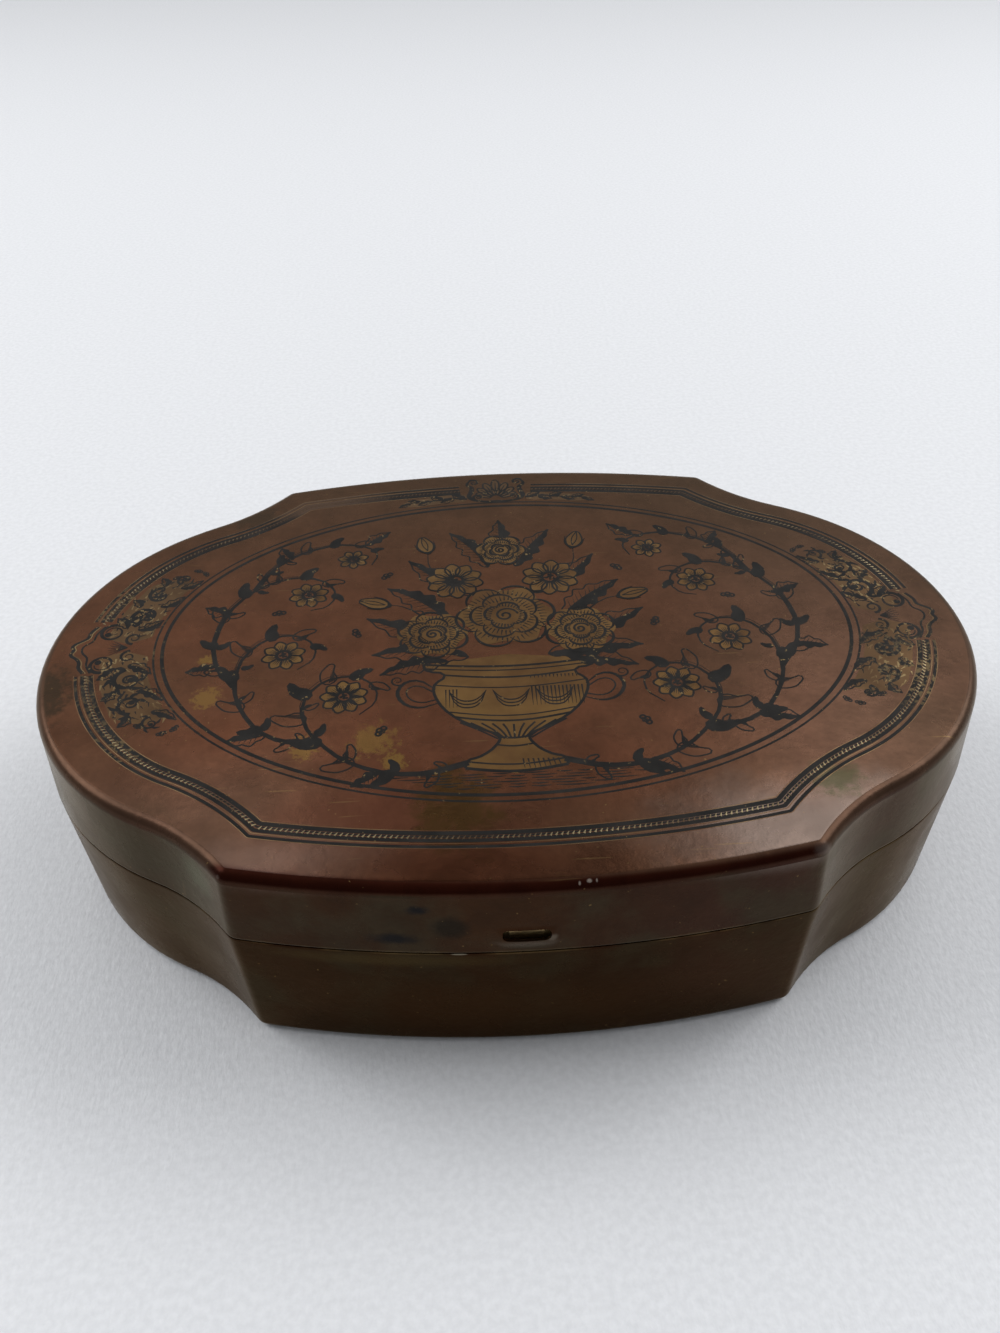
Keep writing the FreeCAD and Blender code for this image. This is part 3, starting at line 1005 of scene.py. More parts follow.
@dataclass
class BasePan:
    """Drawn base: walls leaning in to a rounded foot and a floor pressed up inside a standing ring."""

    plan: Plan
    rim: float = 29.875
    sheet: float = 0.5
    lean: float = 1.1
    foot: float = 2.2
    foot_inset: float = 3.6
    ring: float = 5.0
    rise: float = 0.6
    wall_rings: tuple[float, ...] = (29.2, 27.0, 22.0, 16.0, 10.0, 5.0)
    top_ring: float = 29.7

    def inset(self, height: float) -> float:
        """Inset of the leaning outer wall at a height."""
        return self.lean * (SEAM - height) / SEAM

    def floor(self, bm: bmesh.types.BMesh, rim: list[bmesh.types.BMEdge]) -> None:
        """Carry one open loop inward as the standing ring, up a soft step, and close it.

        Args:
            bm: mesh to add to, in mm.
            rim: edges of the open loop at the foot.
        """
        steps = ((1.0, 0.0), (self.ring, 0.0), (self.ring + 0.35, 0.5), (self.ring + 0.8, 1.0),
                 (self.ring + 1.3, 1.0))
        reached = 0.0
        raised = 0.0
        for inward, share in steps:
            made = bmesh.ops.extrude_edge_only(bm, edges=rim)["geom"]
            verts = [item for item in made if isinstance(item, bmesh.types.BMVert)]
            rim = [item for item in made if isinstance(item, bmesh.types.BMEdge) and item.is_boundary]
            wide = self.plan.half_length - self.foot_inset - reached
            deep = self.plan.half_depth - self.foot_inset - reached
            step = inward - reached
            bmesh.ops.scale(bm, vec=((wide - step) / wide, (deep - step) / deep, 1.0), verts=verts)
            bmesh.ops.translate(bm, vec=(0, 0, (share - raised) * self.rise), verts=verts)
            reached = inward
            raised = share
        bmesh.ops.edgeloop_fill(bm, edges=rim)

    def build(self, finishes: Finishes) -> None:
        """Make the base and let it ride on the base body.

        Args:
            finishes: the tin's materials.
        """
        hub = (self.inset(self.foot) + self.foot, self.foot)
        levels = [self.top_ring, *self.wall_rings]
        middle = self.sheet / 2
        outside = [(middle, self.rim), (EDGE_IN, self.rim - EDGE_BACK)]
        outside += [(self.inset(level), level) for level in levels]
        outside += round_section(hub, self.foot, 0, -90, 9) + [(self.foot_inset, 0.0)]
        inside = [(middle, self.rim), (self.sheet - EDGE_IN, self.rim - EDGE_BACK)]
        inside += [(self.inset(level) + self.sheet, level) for level in levels]
        inside += round_section(hub, self.foot - self.sheet, 0, -90, 6) + [(self.foot_inset, self.sheet)]
        bm = bmesh.new()
        spin_section(bm, self.plan, outside, 0)
        spin_section(bm, self.plan, inside, 1)
        bmesh.ops.remove_doubles(bm, verts=bm.verts, dist=JOIN)
        rims = [edge for edge in bm.edges if edge.is_boundary]
        under = [edge for edge in rims if edge.verts[0].co.z < middle]
        above = [edge for edge in rims if edge.verts[0].co.z > middle]
        for finish, loop in ((0, under), (1, above)):
            known = set(bm.faces)
            self.floor(bm, loop)
            for face in set(bm.faces) - known:
                face.material_index = finish
        base = new_piece("base_visual", bm, [finishes.base, finishes.inside])
        cut(base, cutter("notch_tool", NOTCH_LOW, NOTCH_HIGH))
        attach(base, "base")
        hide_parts("base_pan")


@dataclass
class InnerCollar:
    """Sheet band inside the base, stepped in below the seam, open at the hinge, with the catch nub."""

    plan: Plan
    sheet: float = 0.4
    seat: float = 0.63
    neck: float = 1.15
    low: float = 26.5
    step: float = 29.0
    top: float = 37.0
    soft: float = 0.1
    gap_low: Place = (-26.0, 40.0, 20.0)
    gap_high: Place = (26.0, 70.0, 40.0)
    nub_radius: float = 1.6
    nub_length: float = 6.0
    nub_round: float = 0.2
    nub_flat: float = 0.28
    nub_sunk: float = 0.2
    nub_height: float = 34.55

    def band(self, finishes: Finishes) -> None:
        """Make the collar.

        Args:
            finishes: the tin's materials.
        """
        ledge = self.step - self.sheet
        inner_neck = self.neck + self.sheet
        inner_seat = self.seat + self.sheet
        outer = [(self.seat, self.low), (self.seat, self.step - self.soft),
                 (self.seat + self.soft, self.step), (self.neck, self.step),
                 (self.neck, self.top - self.soft)]
        crown = [(self.neck + self.sheet / 2, self.top)]
        inner = [(inner_neck, self.top - self.soft), (inner_neck, ledge), (inner_seat, ledge),
                 (inner_seat, self.low)]
        bm = bmesh.new()
        spin_section(bm, self.plan, outer + crown + inner, 0, closed=True)
        bmesh.ops.remove_doubles(bm, verts=bm.verts, dist=JOIN)
        collar = new_piece("collar_visual", bm, [finishes.collar])
        cut(collar, cutter("gap_tool", self.gap_low, self.gap_high))
        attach(collar, "base")
        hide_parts("inner_collar")

    def nub(self, finishes: Finishes) -> None:
        """Make the flattened round nub that the catch slot snaps over.

        Args:
            finishes: the tin's materials.
        """
        bm = bmesh.new()
        face = -self.plan.half_depth + self.neck
        turned = Matrix.Rotation(math.pi / 2, 4, "Y")
        bmesh.ops.create_cone(bm, segments=32, radius1=self.nub_radius, radius2=self.nub_radius,
                              depth=self.nub_length, cap_ends=True, matrix=turned)
        rims = [edge for edge in bm.edges if abs(edge.verts[0].co.x - edge.verts[1].co.x) < JOIN]
        bmesh.ops.bevel(bm, geom=rims, offset=self.nub_round, offset_type="OFFSET", segments=3, profile=0.5,
                        affect="EDGES", material=-1)
        bmesh.ops.scale(bm, vec=(1.0, self.nub_flat, 1.0), verts=bm.verts)
        bmesh.ops.translate(bm, vec=(0.0, face + self.nub_sunk, self.nub_height), verts=bm.verts)
        nub = new_piece("catch_nub", bm, [finishes.collar])
        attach(nub, "base")

    def build(self, finishes: Finishes) -> None:
        """Make the collar and its nub and let them ride on the base body."""
        self.band(finishes)
        self.nub(finishes)


class Hinge:
    """The leaves and the pin keep the shapes of the frame and get their finishes here."""

    def build(self, finishes: Finishes) -> None:
        """Give each hinge part its own metal.

        Args:
            finishes: the tin's materials.
        """
        for node, finish in (("hinge_lid_leaf", finishes.hinge), ("hinge_base_leaf", finishes.hinge),
                             ("hinge_pin", finishes.pin)):
            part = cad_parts[node]
            for holder in part.material_slots:
                holder.material = finish
            LOG.info("%s: metal set", node)


# Drawing on the lid

class Taper(Enum):
    """How a stroke's width changes along its length."""

    EVEN = "even"
    SWELL = "thin at both ends"
    TAIL = "thin at the end"


@dataclass(frozen=True)
class Stroke:
    """A line on the lid: points and width in mm."""

    points: tuple[Vector, ...]
    width: float
    taper: Taper
    closed: bool
    smooth: bool

    def radius(self, share: float) -> float:
        """Half the width at a share of the way along.

        Args:
            share: share of the length.

        Returns:
            Half the width in mm.
        """
        if self.taper is Taper.SWELL:
            return self.width / 2 * (0.3 + 0.7 * math.sin(math.pi * share))
        if self.taper is Taper.TAIL:
            return self.width / 2 * (1.0 - 0.75 * share)
        return self.width / 2


class Pen:
    """Collects strokes and filled shapes of one colour and makes them one thin raised piece on the lid."""

    def __init__(self, name: str, finish: bpy.types.Material, level: float, relief: float) -> None:
        """Start an empty drawing.

        Args:
            name: name of the piece.
            finish: its material.
            level: height of its underside above the lid's face in mm.
            relief: its thickness in mm.
        """
        self.name = name
        self.finish = finish
        self.level = level
        self.relief = relief
        self.strokes: list[Stroke] = []
        self.shapes: list[Row] = []

    def line(self, points: Row, width: float, taper: Taper = Taper.EVEN,
             closed: bool = False) -> None:
        """Draw a smooth line through points."""
        self.strokes.append(Stroke(tuple(points), width, taper, closed, len(points) > 2))

    def hatch(self, first: Vector, last: Vector, width: float) -> None:
        """Draw a short straight stroke that thins out."""
        self.strokes.append(Stroke((first, last), width, Taper.TAIL, False, False))

    def fill(self, points: Row) -> None:
        """Draw a filled shape with a smooth outline."""
        self.shapes.append(list(points))

    def curve(self, flat: bool) -> bpy.types.Curve:
        """An empty curve for strokes, or for one filled shape.

        Args:
            flat: whether it is for a filled shape.

        Returns:
            The curve.
        """
        made = bpy.data.curves.new(self.name, "CURVE")
        made.dimensions = "2D" if flat else "3D"
        made.resolution_u = 2 if flat else 3
        if flat:
            made.fill_mode = "BOTH"
            made.extrude = 0.5
        else:
            made.bevel_depth = 1.0
            made.bevel_resolution = 0
            made.use_fill_caps = True
        return made

    def add_bezier(self, curve: bpy.types.Curve, points: tuple[Vector, ...], radii: list[float],
                   closed: bool, height: float = 0.0) -> None:
        """Add a smooth row of points to a curve.

        Args:
            curve: the curve to add to.
            points: the row.
            radii: half the width at each point.
            closed: whether the row closes.
            height: its height in the stack.
        """
        spline = curve.splines.new("BEZIER")
        spline.bezier_points.add(len(points) - 1)
        for knot, point, radius in zip(spline.bezier_points, points, radii):
            knot.co = (*point, height)
            knot.radius = radius
            knot.handle_left_type = "AUTO"
            knot.handle_right_type = "AUTO"
        spline.use_cyclic_u = closed

    def add_straight(self, curve: bpy.types.Curve, stroke: Stroke, height: float) -> None:
        """Add a straight stroke to a curve.

        Args:
            curve: the curve to add to.
            stroke: the stroke.
            height: its height in the stack.
        """
        spline = curve.splines.new("POLY")
        spline.points.add(1)
        for index, (knot, point) in enumerate(zip(spline.points, stroke.points)):
            knot.co = (*point, height, 1.0)
            knot.radius = stroke.radius(index)

    def gather(self, bm: bmesh.types.BMesh, curve: bpy.types.Curve, height: float = 0.0) -> None:
        """Add a curve's shape to a mesh at a height and drop the curve.

        Args:
            bm: mesh to add to.
            curve: the curve, removed here.
            height: its height in the stack.
        """
        holder = bpy.data.objects.new(self.name, curve)
        mesh = bpy.data.meshes.new_from_object(holder)
        mesh.transform(Matrix.Translation((0.0, 0.0, height)))
        bm.from_mesh(mesh)
        bpy.data.objects.remove(holder)
        bpy.data.curves.remove(curve)
        bpy.data.meshes.remove(mesh)

    def build(self) -> None:
        """Make the drawing a piece that rides on the lid."""
        bm = bmesh.new()
        lines = self.curve(False)
        for order, stroke in enumerate(self.strokes):
            if stroke.smooth:
                last = len(stroke.points) - 1
                radii = [stroke.radius(index / last) for index in range(last + 1)]
                self.add_bezier(lines, stroke.points, radii, stroke.closed, STACK * order)
            else:
                self.add_straight(lines, stroke, STACK * order)
        self.gather(bm, lines)
        for order, shape in enumerate(self.shapes, len(self.strokes)):
            area = self.curve(True)
            self.add_bezier(area, tuple(shape), [1.0] * len(shape), True)
            self.gather(bm, area, STACK * order)
        bmesh.ops.remove_doubles(bm, verts=bm.verts, dist=TOUCH)
        half = self.relief / 2
        for vert in bm.verts:
            order = round(vert.co.z / STACK)
            rise = min(half, max(-half, vert.co.z - STACK * order))
            vert.co.z = LID_TOP + self.level + half + rise + LAYER * (order % LAYERS)
        piece = new_piece(self.name, bm, [self.finish])
        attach(piece, "lid")


def mirrored(points: Row, side: float) -> Row:
    """Points as they are, or mirrored left to right when the side is -1."""
    return [Vector((point.x * side, point.y)) for point in points]


def path(*pairs: Pair) -> Row:
    """Points from plain pairs."""
    return [Vector(pair) for pair in pairs]


def oval(middle: Vector, wide: float, deep: float, count: int = 72) -> Row:
    """Points round an oval."""
    turns = [2 * math.pi * step / count for step in range(count)]
    return [middle + Vector((wide * math.cos(turn), deep * math.sin(turn))) for turn in turns]


def spiral(middle: Vector, start: float, end: float, first: float, turns: float) -> Row:
    """Points of a spiral.

    Args:
        middle: its middle.
        start: radius at the start.
        end: radius at the end.
        first: angle at the start in degrees.
        turns: whole turns, negative for clockwise.

    Returns:
        Points from the start to the end.
    """
    count = max(6, math.ceil(abs(turns) * 12))
    points = []
    for step in range(count + 1):
        share = step / count
        radius = start * (end / start) ** share
        points.append(middle + unit(math.radians(first) + 2 * math.pi * turns * share) * radius)
    return points


class Motifs:
    """Common ornaments drawn with three pens: lines, pale filled parts and dark filled parts."""

    def __init__(self, lines: Pen, areas: Pen, darks: Pen) -> None:
        """Keep the pens for lines and for pale and dark filled parts.

        Args:
            lines: pen for lines.
            areas: pen for pale parts.
            darks: pen for dark parts.
        """
        self.lines = lines
        self.areas = areas
        self.darks = darks

    def leaf(self, root: Vector, tip: Vector, width: float, teeth: int, bend: float = 0.0,
             weight: float = 0.36) -> None:
        """A toothed leaf with a midrib, its right half dark and its left half hatched.

        Args:
            root: where the leaf starts.
            tip: its point.
            width: its full width.
            teeth: number of teeth on each side.
            bend: how far the midrib bows to its left.
            weight: width of the outline.
        """
        axis = tip - root
        side = across(axis)
        count = teeth * 4

        def spine(share: float) -> Vector:
            """Point on the midrib."""
            return root + axis * share + side * (bend * math.sin(math.pi * share))

        def half(share: float) -> float:
            """Half width of the toothed blade."""
            blade = math.sin(math.pi * share ** 0.8) * width / 2
            return blade * (1.0 + 0.2 * math.sin(2 * math.pi * teeth * share))

        for sign in (1, -1):
            edge = [spine(step / count) + side * (sign * half(step / count)) for step in range(count + 1)]
            self.lines.line(edge, weight)
        self.lines.line([spine(step / 6) for step in range(7)], weight * 1.2, Taper.TAIL)
        edge = [spine(step / count) - side * half(step / count) for step in range(1, count)]
        rib = [spine(step / 6) for step in range(5, 0, -1)]
        self.darks.fill([spine(0.02)] + edge + [spine(0.98)] + rib)
        for row in range(1, teeth * 2):
            share = 0.1 + 0.75 * row / (teeth * 2)
            ahead = min(0.97, share + 0.08)
            self.lines.hatch(spine(share), spine(ahead) + side * (half(ahead) * 0.75), 0.2)

    def rose(self, middle: Vector, radius: float, turn: float) -> None:
        """An open rose of three rings of petals round a tight spiral.

        Args:
            middle: its middle.
            radius: its radius.
            turn: angle of the first petal.
        """
        ground = []
        for step in range(30):
            reach = radius * (0.90 + 0.09 * math.cos(math.pi * step * 0.4))
            ground.append(middle + unit(2 * math.pi * step / 30) * reach)
        self.areas.fill(ground)
        for order, (size, petals) in enumerate(((1.0, 6), (0.7, 5), (0.42, 4))):
            for petal in range(petals):
                heading = turn + 2 * math.pi * (petal + 0.37 * order) / petals
                half = math.pi / petals * 1.12
                rim = []
                for step in range(-4, 5):
                    share = step / 4
                    reach = radius * size * (0.70 + 0.30 * math.cos(share * math.pi / 2) ** 0.7)
                    rim.append(middle + unit(heading + half * share) * reach)
                self.lines.line(rim, 0.66, Taper.SWELL)
                for step in range(-3, 4):
                    ray = unit(heading + half * step / 4.6)
                    start = radius * size * (0.66 + 0.02 * abs(step))
                    self.lines.hatch(middle + ray * start, middle + ray * (start + radius * 0.16), 0.36)
        self.lines.line(spiral(middle, radius * 0.26, radius * 0.05, math.degrees(turn), 1.6), 0.5)

    def daisy(self, middle: Vector, radius: float, petals: int, turn: float) -> None:
        """A ray flower with a dotted middle.

        Args:
            middle: its middle.
            radius: its radius.
            petals: number of petals.
            turn: angle of the first petal.
        """
        for petal in range(petals):
            ray = unit(turn + 2 * math.pi * petal / petals)
            side = across(ray)
            half = radius * 0.27
            belly = middle + ray * (radius * 0.66)
            shoulder = middle + ray * (radius * 0.93)
            rim = [middle + ray * (radius * 0.3), belly + side * half, shoulder + side * (half * 0.5),
                   middle + ray * radius, shoulder - side * (half * 0.5), belly - side * half]
            self.areas.fill(rim)
            self.lines.line(rim, 0.42, closed=True)
            for offset in (-0.1, 0.0, 0.1):
                self.lines.hatch(middle + ray * (radius * 0.34) + side * (offset * radius * 0.5),
                                 middle + ray * (radius * 0.72) + side * (offset * radius), 0.24)
        self.lines.line(oval(middle, radius * 0.27, radius * 0.27, 14), 0.4, closed=True)
        for dot in range(7):
            spot = middle + unit(dot * 2.4) * (radius * 0.065 * math.sqrt(dot))
            self.lines.line(oval(spot, 0.16, 0.16, 6), 0.3, closed=True)

    def bud(self, root: Vector, tip: Vector, width: float) -> None:
        """A closed bud held by two sepals.

        Args:
            root: where it is held.
            tip: its point.
            width: its full width.
        """
        axis = tip - root
        side = across(axis)
        belly = root + axis * 0.35
        shoulder = root + axis * 0.75
        body = [root, belly + side * (width / 2), shoulder + side * (width * 0.36), tip,
                shoulder - side * (width * 0.36), belly - side * (width / 2)]
        self.areas.fill(body)
        self.lines.line(body, 0.36, closed=True)
        for sign in (1, -1):
            self.lines.line([root - axis * 0.1, root + axis * 0.2 + side * (sign * width * 0.5),
                             root + axis * 0.62 + side * (sign * width * 0.62)], 0.6, Taper.TAIL)
            self.lines.line([root + axis * 0.1, root + axis * 0.5 + side * (sign * width * 0.16), tip], 0.26)

    def berries(self, middle: Vector, radius: float, heading: float) -> None:
        """Three small round berries on a short spray.

        Args:
            middle: where the spray starts.
            radius: radius of a berry.
            heading: angle of the spray.
        """
        for offset in (-0.8, 0.0, 0.8):
            spot = middle + unit(heading + offset) * (radius * 2.4)
            self.lines.line([middle, spot], 0.24)
            self.lines.line(oval(spot, radius, radius, 8), radius * 0.9, closed=True)

    def tendril(self, points: Row, weight: float) -> None:
        """A scrolling stem that thins towards its curl."""
        self.lines.line(points, weight, Taper.TAIL)

    def scroll(self, points: Row, size: float, side: float) -> None:
        """A curling stem with an eye and leaf strokes along its outside.

        Args:
            points: the curl from its outer end inward.
            size: its outer radius.
            side: 1 for strokes on the left of the way along it, -1 for the right.
        """
        self.lines.line(points, size * 0.32, Taper.TAIL)
        self.darks.fill(oval(points[-1], size * 0.22, size * 0.22, 8))
        for index in range(0, 10, 2):
            way = (points[index + 1] - points[index]).normalized()
            out = across(way) * side
            root = points[index]
            self.lines.line([root, root + out * (size * 0.30) + way * (size * 0.16),
                             root + out * (size * 0.60) + way * (size * 0.58)], size * 0.30, Taper.SWELL)

    def frond(self, points: Row, side: float, size: float, teeth: int) -> None:
        """Rounded acanthus lobes along one side of a stem.

        Args:
            points: the stem.
            side: 1 for lobes on the left of the way along it, -1 for the right.
            size: length of the largest lobe.
            teeth: number of lobes.
        """
        for tooth in range(teeth):
            spot = 0.08 + 0.8 * tooth / teeth
            index = min(len(points) - 2, int(spot * (len(points) - 1)))
            way = (points[index + 1] - points[index]).normalized()
            out = across(way) * side
            reach = size * (0.55 + 0.45 * math.sin(math.pi * (tooth + 0.5) / teeth))
            root = points[index].lerp(points[index + 1], spot * (len(points) - 1) - index)
            tip = root + out * reach + way * (reach * 0.85)
            lobe = [root - way * (reach * 0.1), root + out * (reach * 0.62) - way * (reach * 0.02),
                    root + out * (reach * 0.95) + way * (reach * 0.38), tip,
                    root + out * (reach * 0.52) + way * (reach * 0.60), root + way * (reach * 0.46)]
            if tooth % 2:
                self.darks.fill(lobe)
            else:
                self.lines.line(lobe, 0.36, closed=True)
                for share in (0.25, 0.45, 0.65, 0.85):
                    start = root + way * (reach * 0.4 * share)
                    self.lines.hatch(start, start.lerp(tip, 0.35 + 0.5 * share), 0.28)


@dataclass
class LidPrint:
    """The printed lid: border lines with a rope band, a double oval, scroll cartouches, crest and centre."""

    plan: Plan
    finishes: Finishes
    shift: Pair = (-0.1, 1.4)
    corner: float = 0.7
    line_step: float = 2.2
    dark_lines: tuple[Pair, ...] = ((8.45, 0.62), (9.80, 0.80), (11.35, 0.90), (10.6, 0.40))
    # Pale lines beside the dark ones: painted highlights of the engraved edges
    glint_lines: tuple[Pair, ...] = ((8.07, 0.14), (9.16, 0.18), (11.93, 0.14))
    rope_level: float = -0.004
    rope_inset: float = 10.5
    rope_step: float = 0.95
    rope_shortest: float = 0.4
    rope_slant: float = 0.55
    rope_half: float = 0.40
    rope_width: float = 0.40
    oval_middle: Pair = (0.2, 2.5)
    oval_outer: Pair = (72.0, 47.8)
    oval_inner: Pair = (70.3, 46.3)
    band_inset: float = 12.0
    end_y: float = 1.2
    end_from: float = 70.0
    end_half: float = 7.4
    crest_from: float = 40.0
    crest_half: float = 7.8
    front_level: float = 0.018

    def clear_of_ornament(self, point: Vector) -> bool:
        """Whether the border runs on at a place, outside the cartouches and the crest.

        Args:
            point: the place.

        Returns:
            True where the border is drawn.
        """
        at_end = abs(point.x) > self.end_from and abs(point.y - self.end_y) < self.end_half
        at_crest = point.y > self.crest_from and abs(point.x) < self.crest_half
        return not (at_end or at_crest)

    def runs(self, inset: float, spacing: float) -> list[Row]:
        """Unbroken stretches of a border line, in order.

        Args:
            inset: distance inside the outer wall.
            spacing: longest step between points.

        Returns:
            A row of points for each stretch.
        """
        points = [point + Vector(self.shift) for point in self.plan.walk(inset, self.corner, spacing)]
        start = next(index for index, point in enumerate(points) if not self.clear_of_ornament(point))
        stretches = [[]]
        for point in points[start:] + points[:start]:
            if self.clear_of_ornament(point):
                stretches[-1].append(point)
            elif stretches[-1]:
                stretches.append([])
        return [stretch for stretch in stretches if len(stretch) > 2]

    def border(self) -> None:
        """Three dark lines along the wall, pale lines beside them as painted highlights of the engraved
        edges, and a rope on a thin line between the inner two.
        """
        ink = Pen("border_lines", self.finishes.ink, SUNK, relief=0.036)
        rope = Pen("border_rope", self.finishes.rope, self.rope_level, relief=0.045)
        glint = Pen("border_glints", self.finishes.glint, SUNK, relief=0.030)
        for pen, rows in ((ink, self.dark_lines), (glint, self.glint_lines)):
            for inset, width in rows:
                for stretch in self.runs(inset, self.line_step):
                    pen.line(stretch, width)
        for stretch in self.runs(self.rope_inset, self.rope_step):
            for before, after in zip(stretch, stretch[1:]):
                way = after - before
                if way.length < self.rope_shortest:
                    continue
                middle = before.lerp(after, 0.5)
                lean = (across(way) + way.normalized() * self.rope_slant).normalized() * self.rope_half
                rope.hatch(middle - lean, middle + lean, self.rope_width)
        for pen in (ink, glint, rope):
            pen.build()

    def ovals(self) -> None:
        """The double line round the middle."""
        pen = Pen("oval_lines", self.finishes.ink, SUNK, relief=0.036)
        middle = Vector(self.oval_middle)
        pen.line(oval(middle, *self.oval_outer), 0.44, closed=True)
        pen.line(oval(middle, *self.oval_inner), 0.76, closed=True)
        pen.build()

    def band(self, y: float, share: float) -> Vector:
        """Place between the oval and the border at a depth, on the right-hand side.

        Args:
            y: the depth.
            share: 0 at the oval, 1 at the border.

        Returns:
            The place.
        """
        middle = Vector(self.oval_middle)
        wide, deep = self.oval_outer
        inner = wide * math.sqrt(1.0 - ((y - middle.y) / deep) ** 2)
        radius = self.plan.lobe_radius - self.band_inset
        lobe = math.sqrt(radius ** 2 - (y - self.shift[1]) ** 2)
        outer = self.plan.half_length - self.plan.lobe_radius + lobe
        return Vector((inner + (outer - inner) * share, y))

    def at_end(self, points: Row, side: float) -> Row:
        """Points drawn about the middle of an end ornament, on the side asked for."""
        return mirrored([Vector((point.x, point.y + self.end_y)) for point in points], side)

    def cartouche(self, motifs: Motifs, gold: Pen, side: float) -> None:
        """Scroll ornament at one end of the lid: a peak, a fan, and a spray above and below.

        Args:
            motifs: ornaments with their pens.
            gold: pen for gilt glints.
            side: 1 for the right end, -1 for the left.
        """
        lines = motifs.lines
        peak = path((84.9, 7.2), (86.0, 5.2), (86.2, 3.5), (87.2, 2.5), (88.7, 1.0), (88.2, -0.2),
                    (88.5, -1.6), (87.0, -3.0), (86.2, -4.2), (85.9, -5.8), (84.6, -7.6))
        lines.line(self.at_end(peak, side), 0.72)
        inner_peak = path((83.4, 7.2), (84.6, 4.6), (84.9, 2.4), (86.4, 0.8), (86.3, -1.0), (84.9, -2.8),
                          (84.5, -5.2), (83.2, -7.6))
        lines.line(self.at_end(inner_peak, side), 0.44)
        gold.line(self.at_end([point - Vector((0.55, 0.0)) for point in peak], side), 0.24)
        for up in (1.0, -1.0):
            self.rings(motifs, side, up)
            self.end_spray(motifs, side, up)
            self.stipple(lines, gold, side, up)
            self.sprigs(motifs, side, up)
        for spoke in range(-3, 4):
            away = abs(spoke)
            fan = path((77.4, 0.0), (79.6 - 0.1 * away, 0.42 * spoke), (81.4 - 0.25 * away, 0.75 * spoke))
            lines.line(self.at_end(fan, side), 0.34, Taper.TAIL)

    def rings(self, motifs: Motifs, side: float, up: float) -> None:
        """A large open ring with a dark eye and a small curl beside it, in half of an end ornament.

        Args:
            motifs: ornaments with their pens.
            side: 1 for the right end, -1 for the left.
            up: 1 for the rear half, -1 for the front half.
        """
        ring = Vector((81.4, 5.0 * up))
        curl = spiral(ring, 2.6, 1.5, 100.0 * up, -1.25 * up)
        motifs.lines.line(self.at_end(curl, side), 0.9, Taper.TAIL)
        motifs.darks.fill(self.at_end(oval(ring + Vector((0.9, -0.6 * up)), 0.7, 0.7, 8), side))
        curl = spiral(Vector((76.6, 2.9 * up)), 1.9, 0.5, -90.0 * up, 1.3 * up)
        motifs.lines.line(self.at_end(curl, side), 0.7, Taper.TAIL)

    def end_spray(self, motifs: Motifs, side: float, up: float) -> None:
        """Three scrolls and six leaves on a shaded ground, in half of an end ornament.

        Args:
            motifs: ornaments with their pens.
            side: 1 for the right end, -1 for the left.
            up: 1 for the rear half, -1 for the front half.
        """
        for reach, share, size, first, turns in (
                (10.2, 0.44, 3.5, -70.0, 1.7), (17.2, 0.54, 3.0, 100.0, -1.6),
                (22.9, 0.45, 2.0, -70.0, 1.5)):
            middle = self.band(self.end_y + up * reach, share)
            curl = spiral(middle, size, size * 0.16, first * up, turns * up)
            motifs.scroll(mirrored(curl, side), size, -math.copysign(side * up, turns))
        for reach, root_share, tip_share, ahead, width in (
                (5.6, 0.42, 0.04, 3.0, 2.4), (6.4, 0.66, 0.97, 3.4, 2.4), (13.2, 0.30, 0.03, 3.4, 2.2),
                (13.4, 0.70, 0.97, 2.6, 2.0), (19.6, 0.30, 0.06, 2.6, 1.8), (20.6, 0.66, 0.94, 3.0, 1.8)):
            root = self.band(self.end_y + up * reach, root_share)
            tip = self.band(self.end_y + up * (reach + ahead), tip_share)
            motifs.leaf(*mirrored([root, tip], side), width, 3, 0.5 * side * up, 0.34)
        rows = [3.0 + 2.6 * step for step in range(8)]
        ground = [self.band(self.end_y + up * reach, 0.10) for reach in rows]
        ground += [self.band(self.end_y + up * reach, 0.92) for reach in reversed(rows)]
        motifs.areas.fill(mirrored(ground, side))

    def stipple(self, lines: Pen, gold: Pen, side: float, up: float) -> None:
        """Short dark and gilt strokes that close up the ground between the leaves of one spray.

        Args:
            lines: pen for dark lines.
            gold: pen for gilt glints.
            side: 1 for the right end, -1 for the left.
            up: 1 for the rear half, -1 for the front half.
        """
        rng = random.Random(int(5 + 2 * side + up))
        for order in range(110):
            reach = 3.2 + 18.4 * rng.random() ** 1.1
            spot = self.band(self.end_y + up * reach, rng.uniform(0.08, 0.94))
            way = unit(rng.uniform(-0.7, 0.7) + up * 2.1) * rng.uniform(0.6, 1.7)
            ends = mirrored([spot, spot + way], side)
            pen = lines if order % 5 < 2 else gold
            pen.hatch(*ends, rng.uniform(0.30, 0.58))

    def sprigs(self, motifs: Motifs, side: float, up: float) -> None:
        """Berries at the far end of one spray.

        Args:
            motifs: ornaments with their pens.
            side: 1 for the right end, -1 for the left.
            up: 1 for the rear half, -1 for the front half.
        """
        for reach, share, heading in ((23.0, 0.60, 1.2), (25.2, 0.42, 1.9), (24.2, 0.22, 2.5)):
            spot = mirrored([self.band(self.end_y + up * reach, share)], side)[0]
            way = heading * up if side > 0 else math.pi - heading * up
            motifs.berries(spot, 0.34, way)

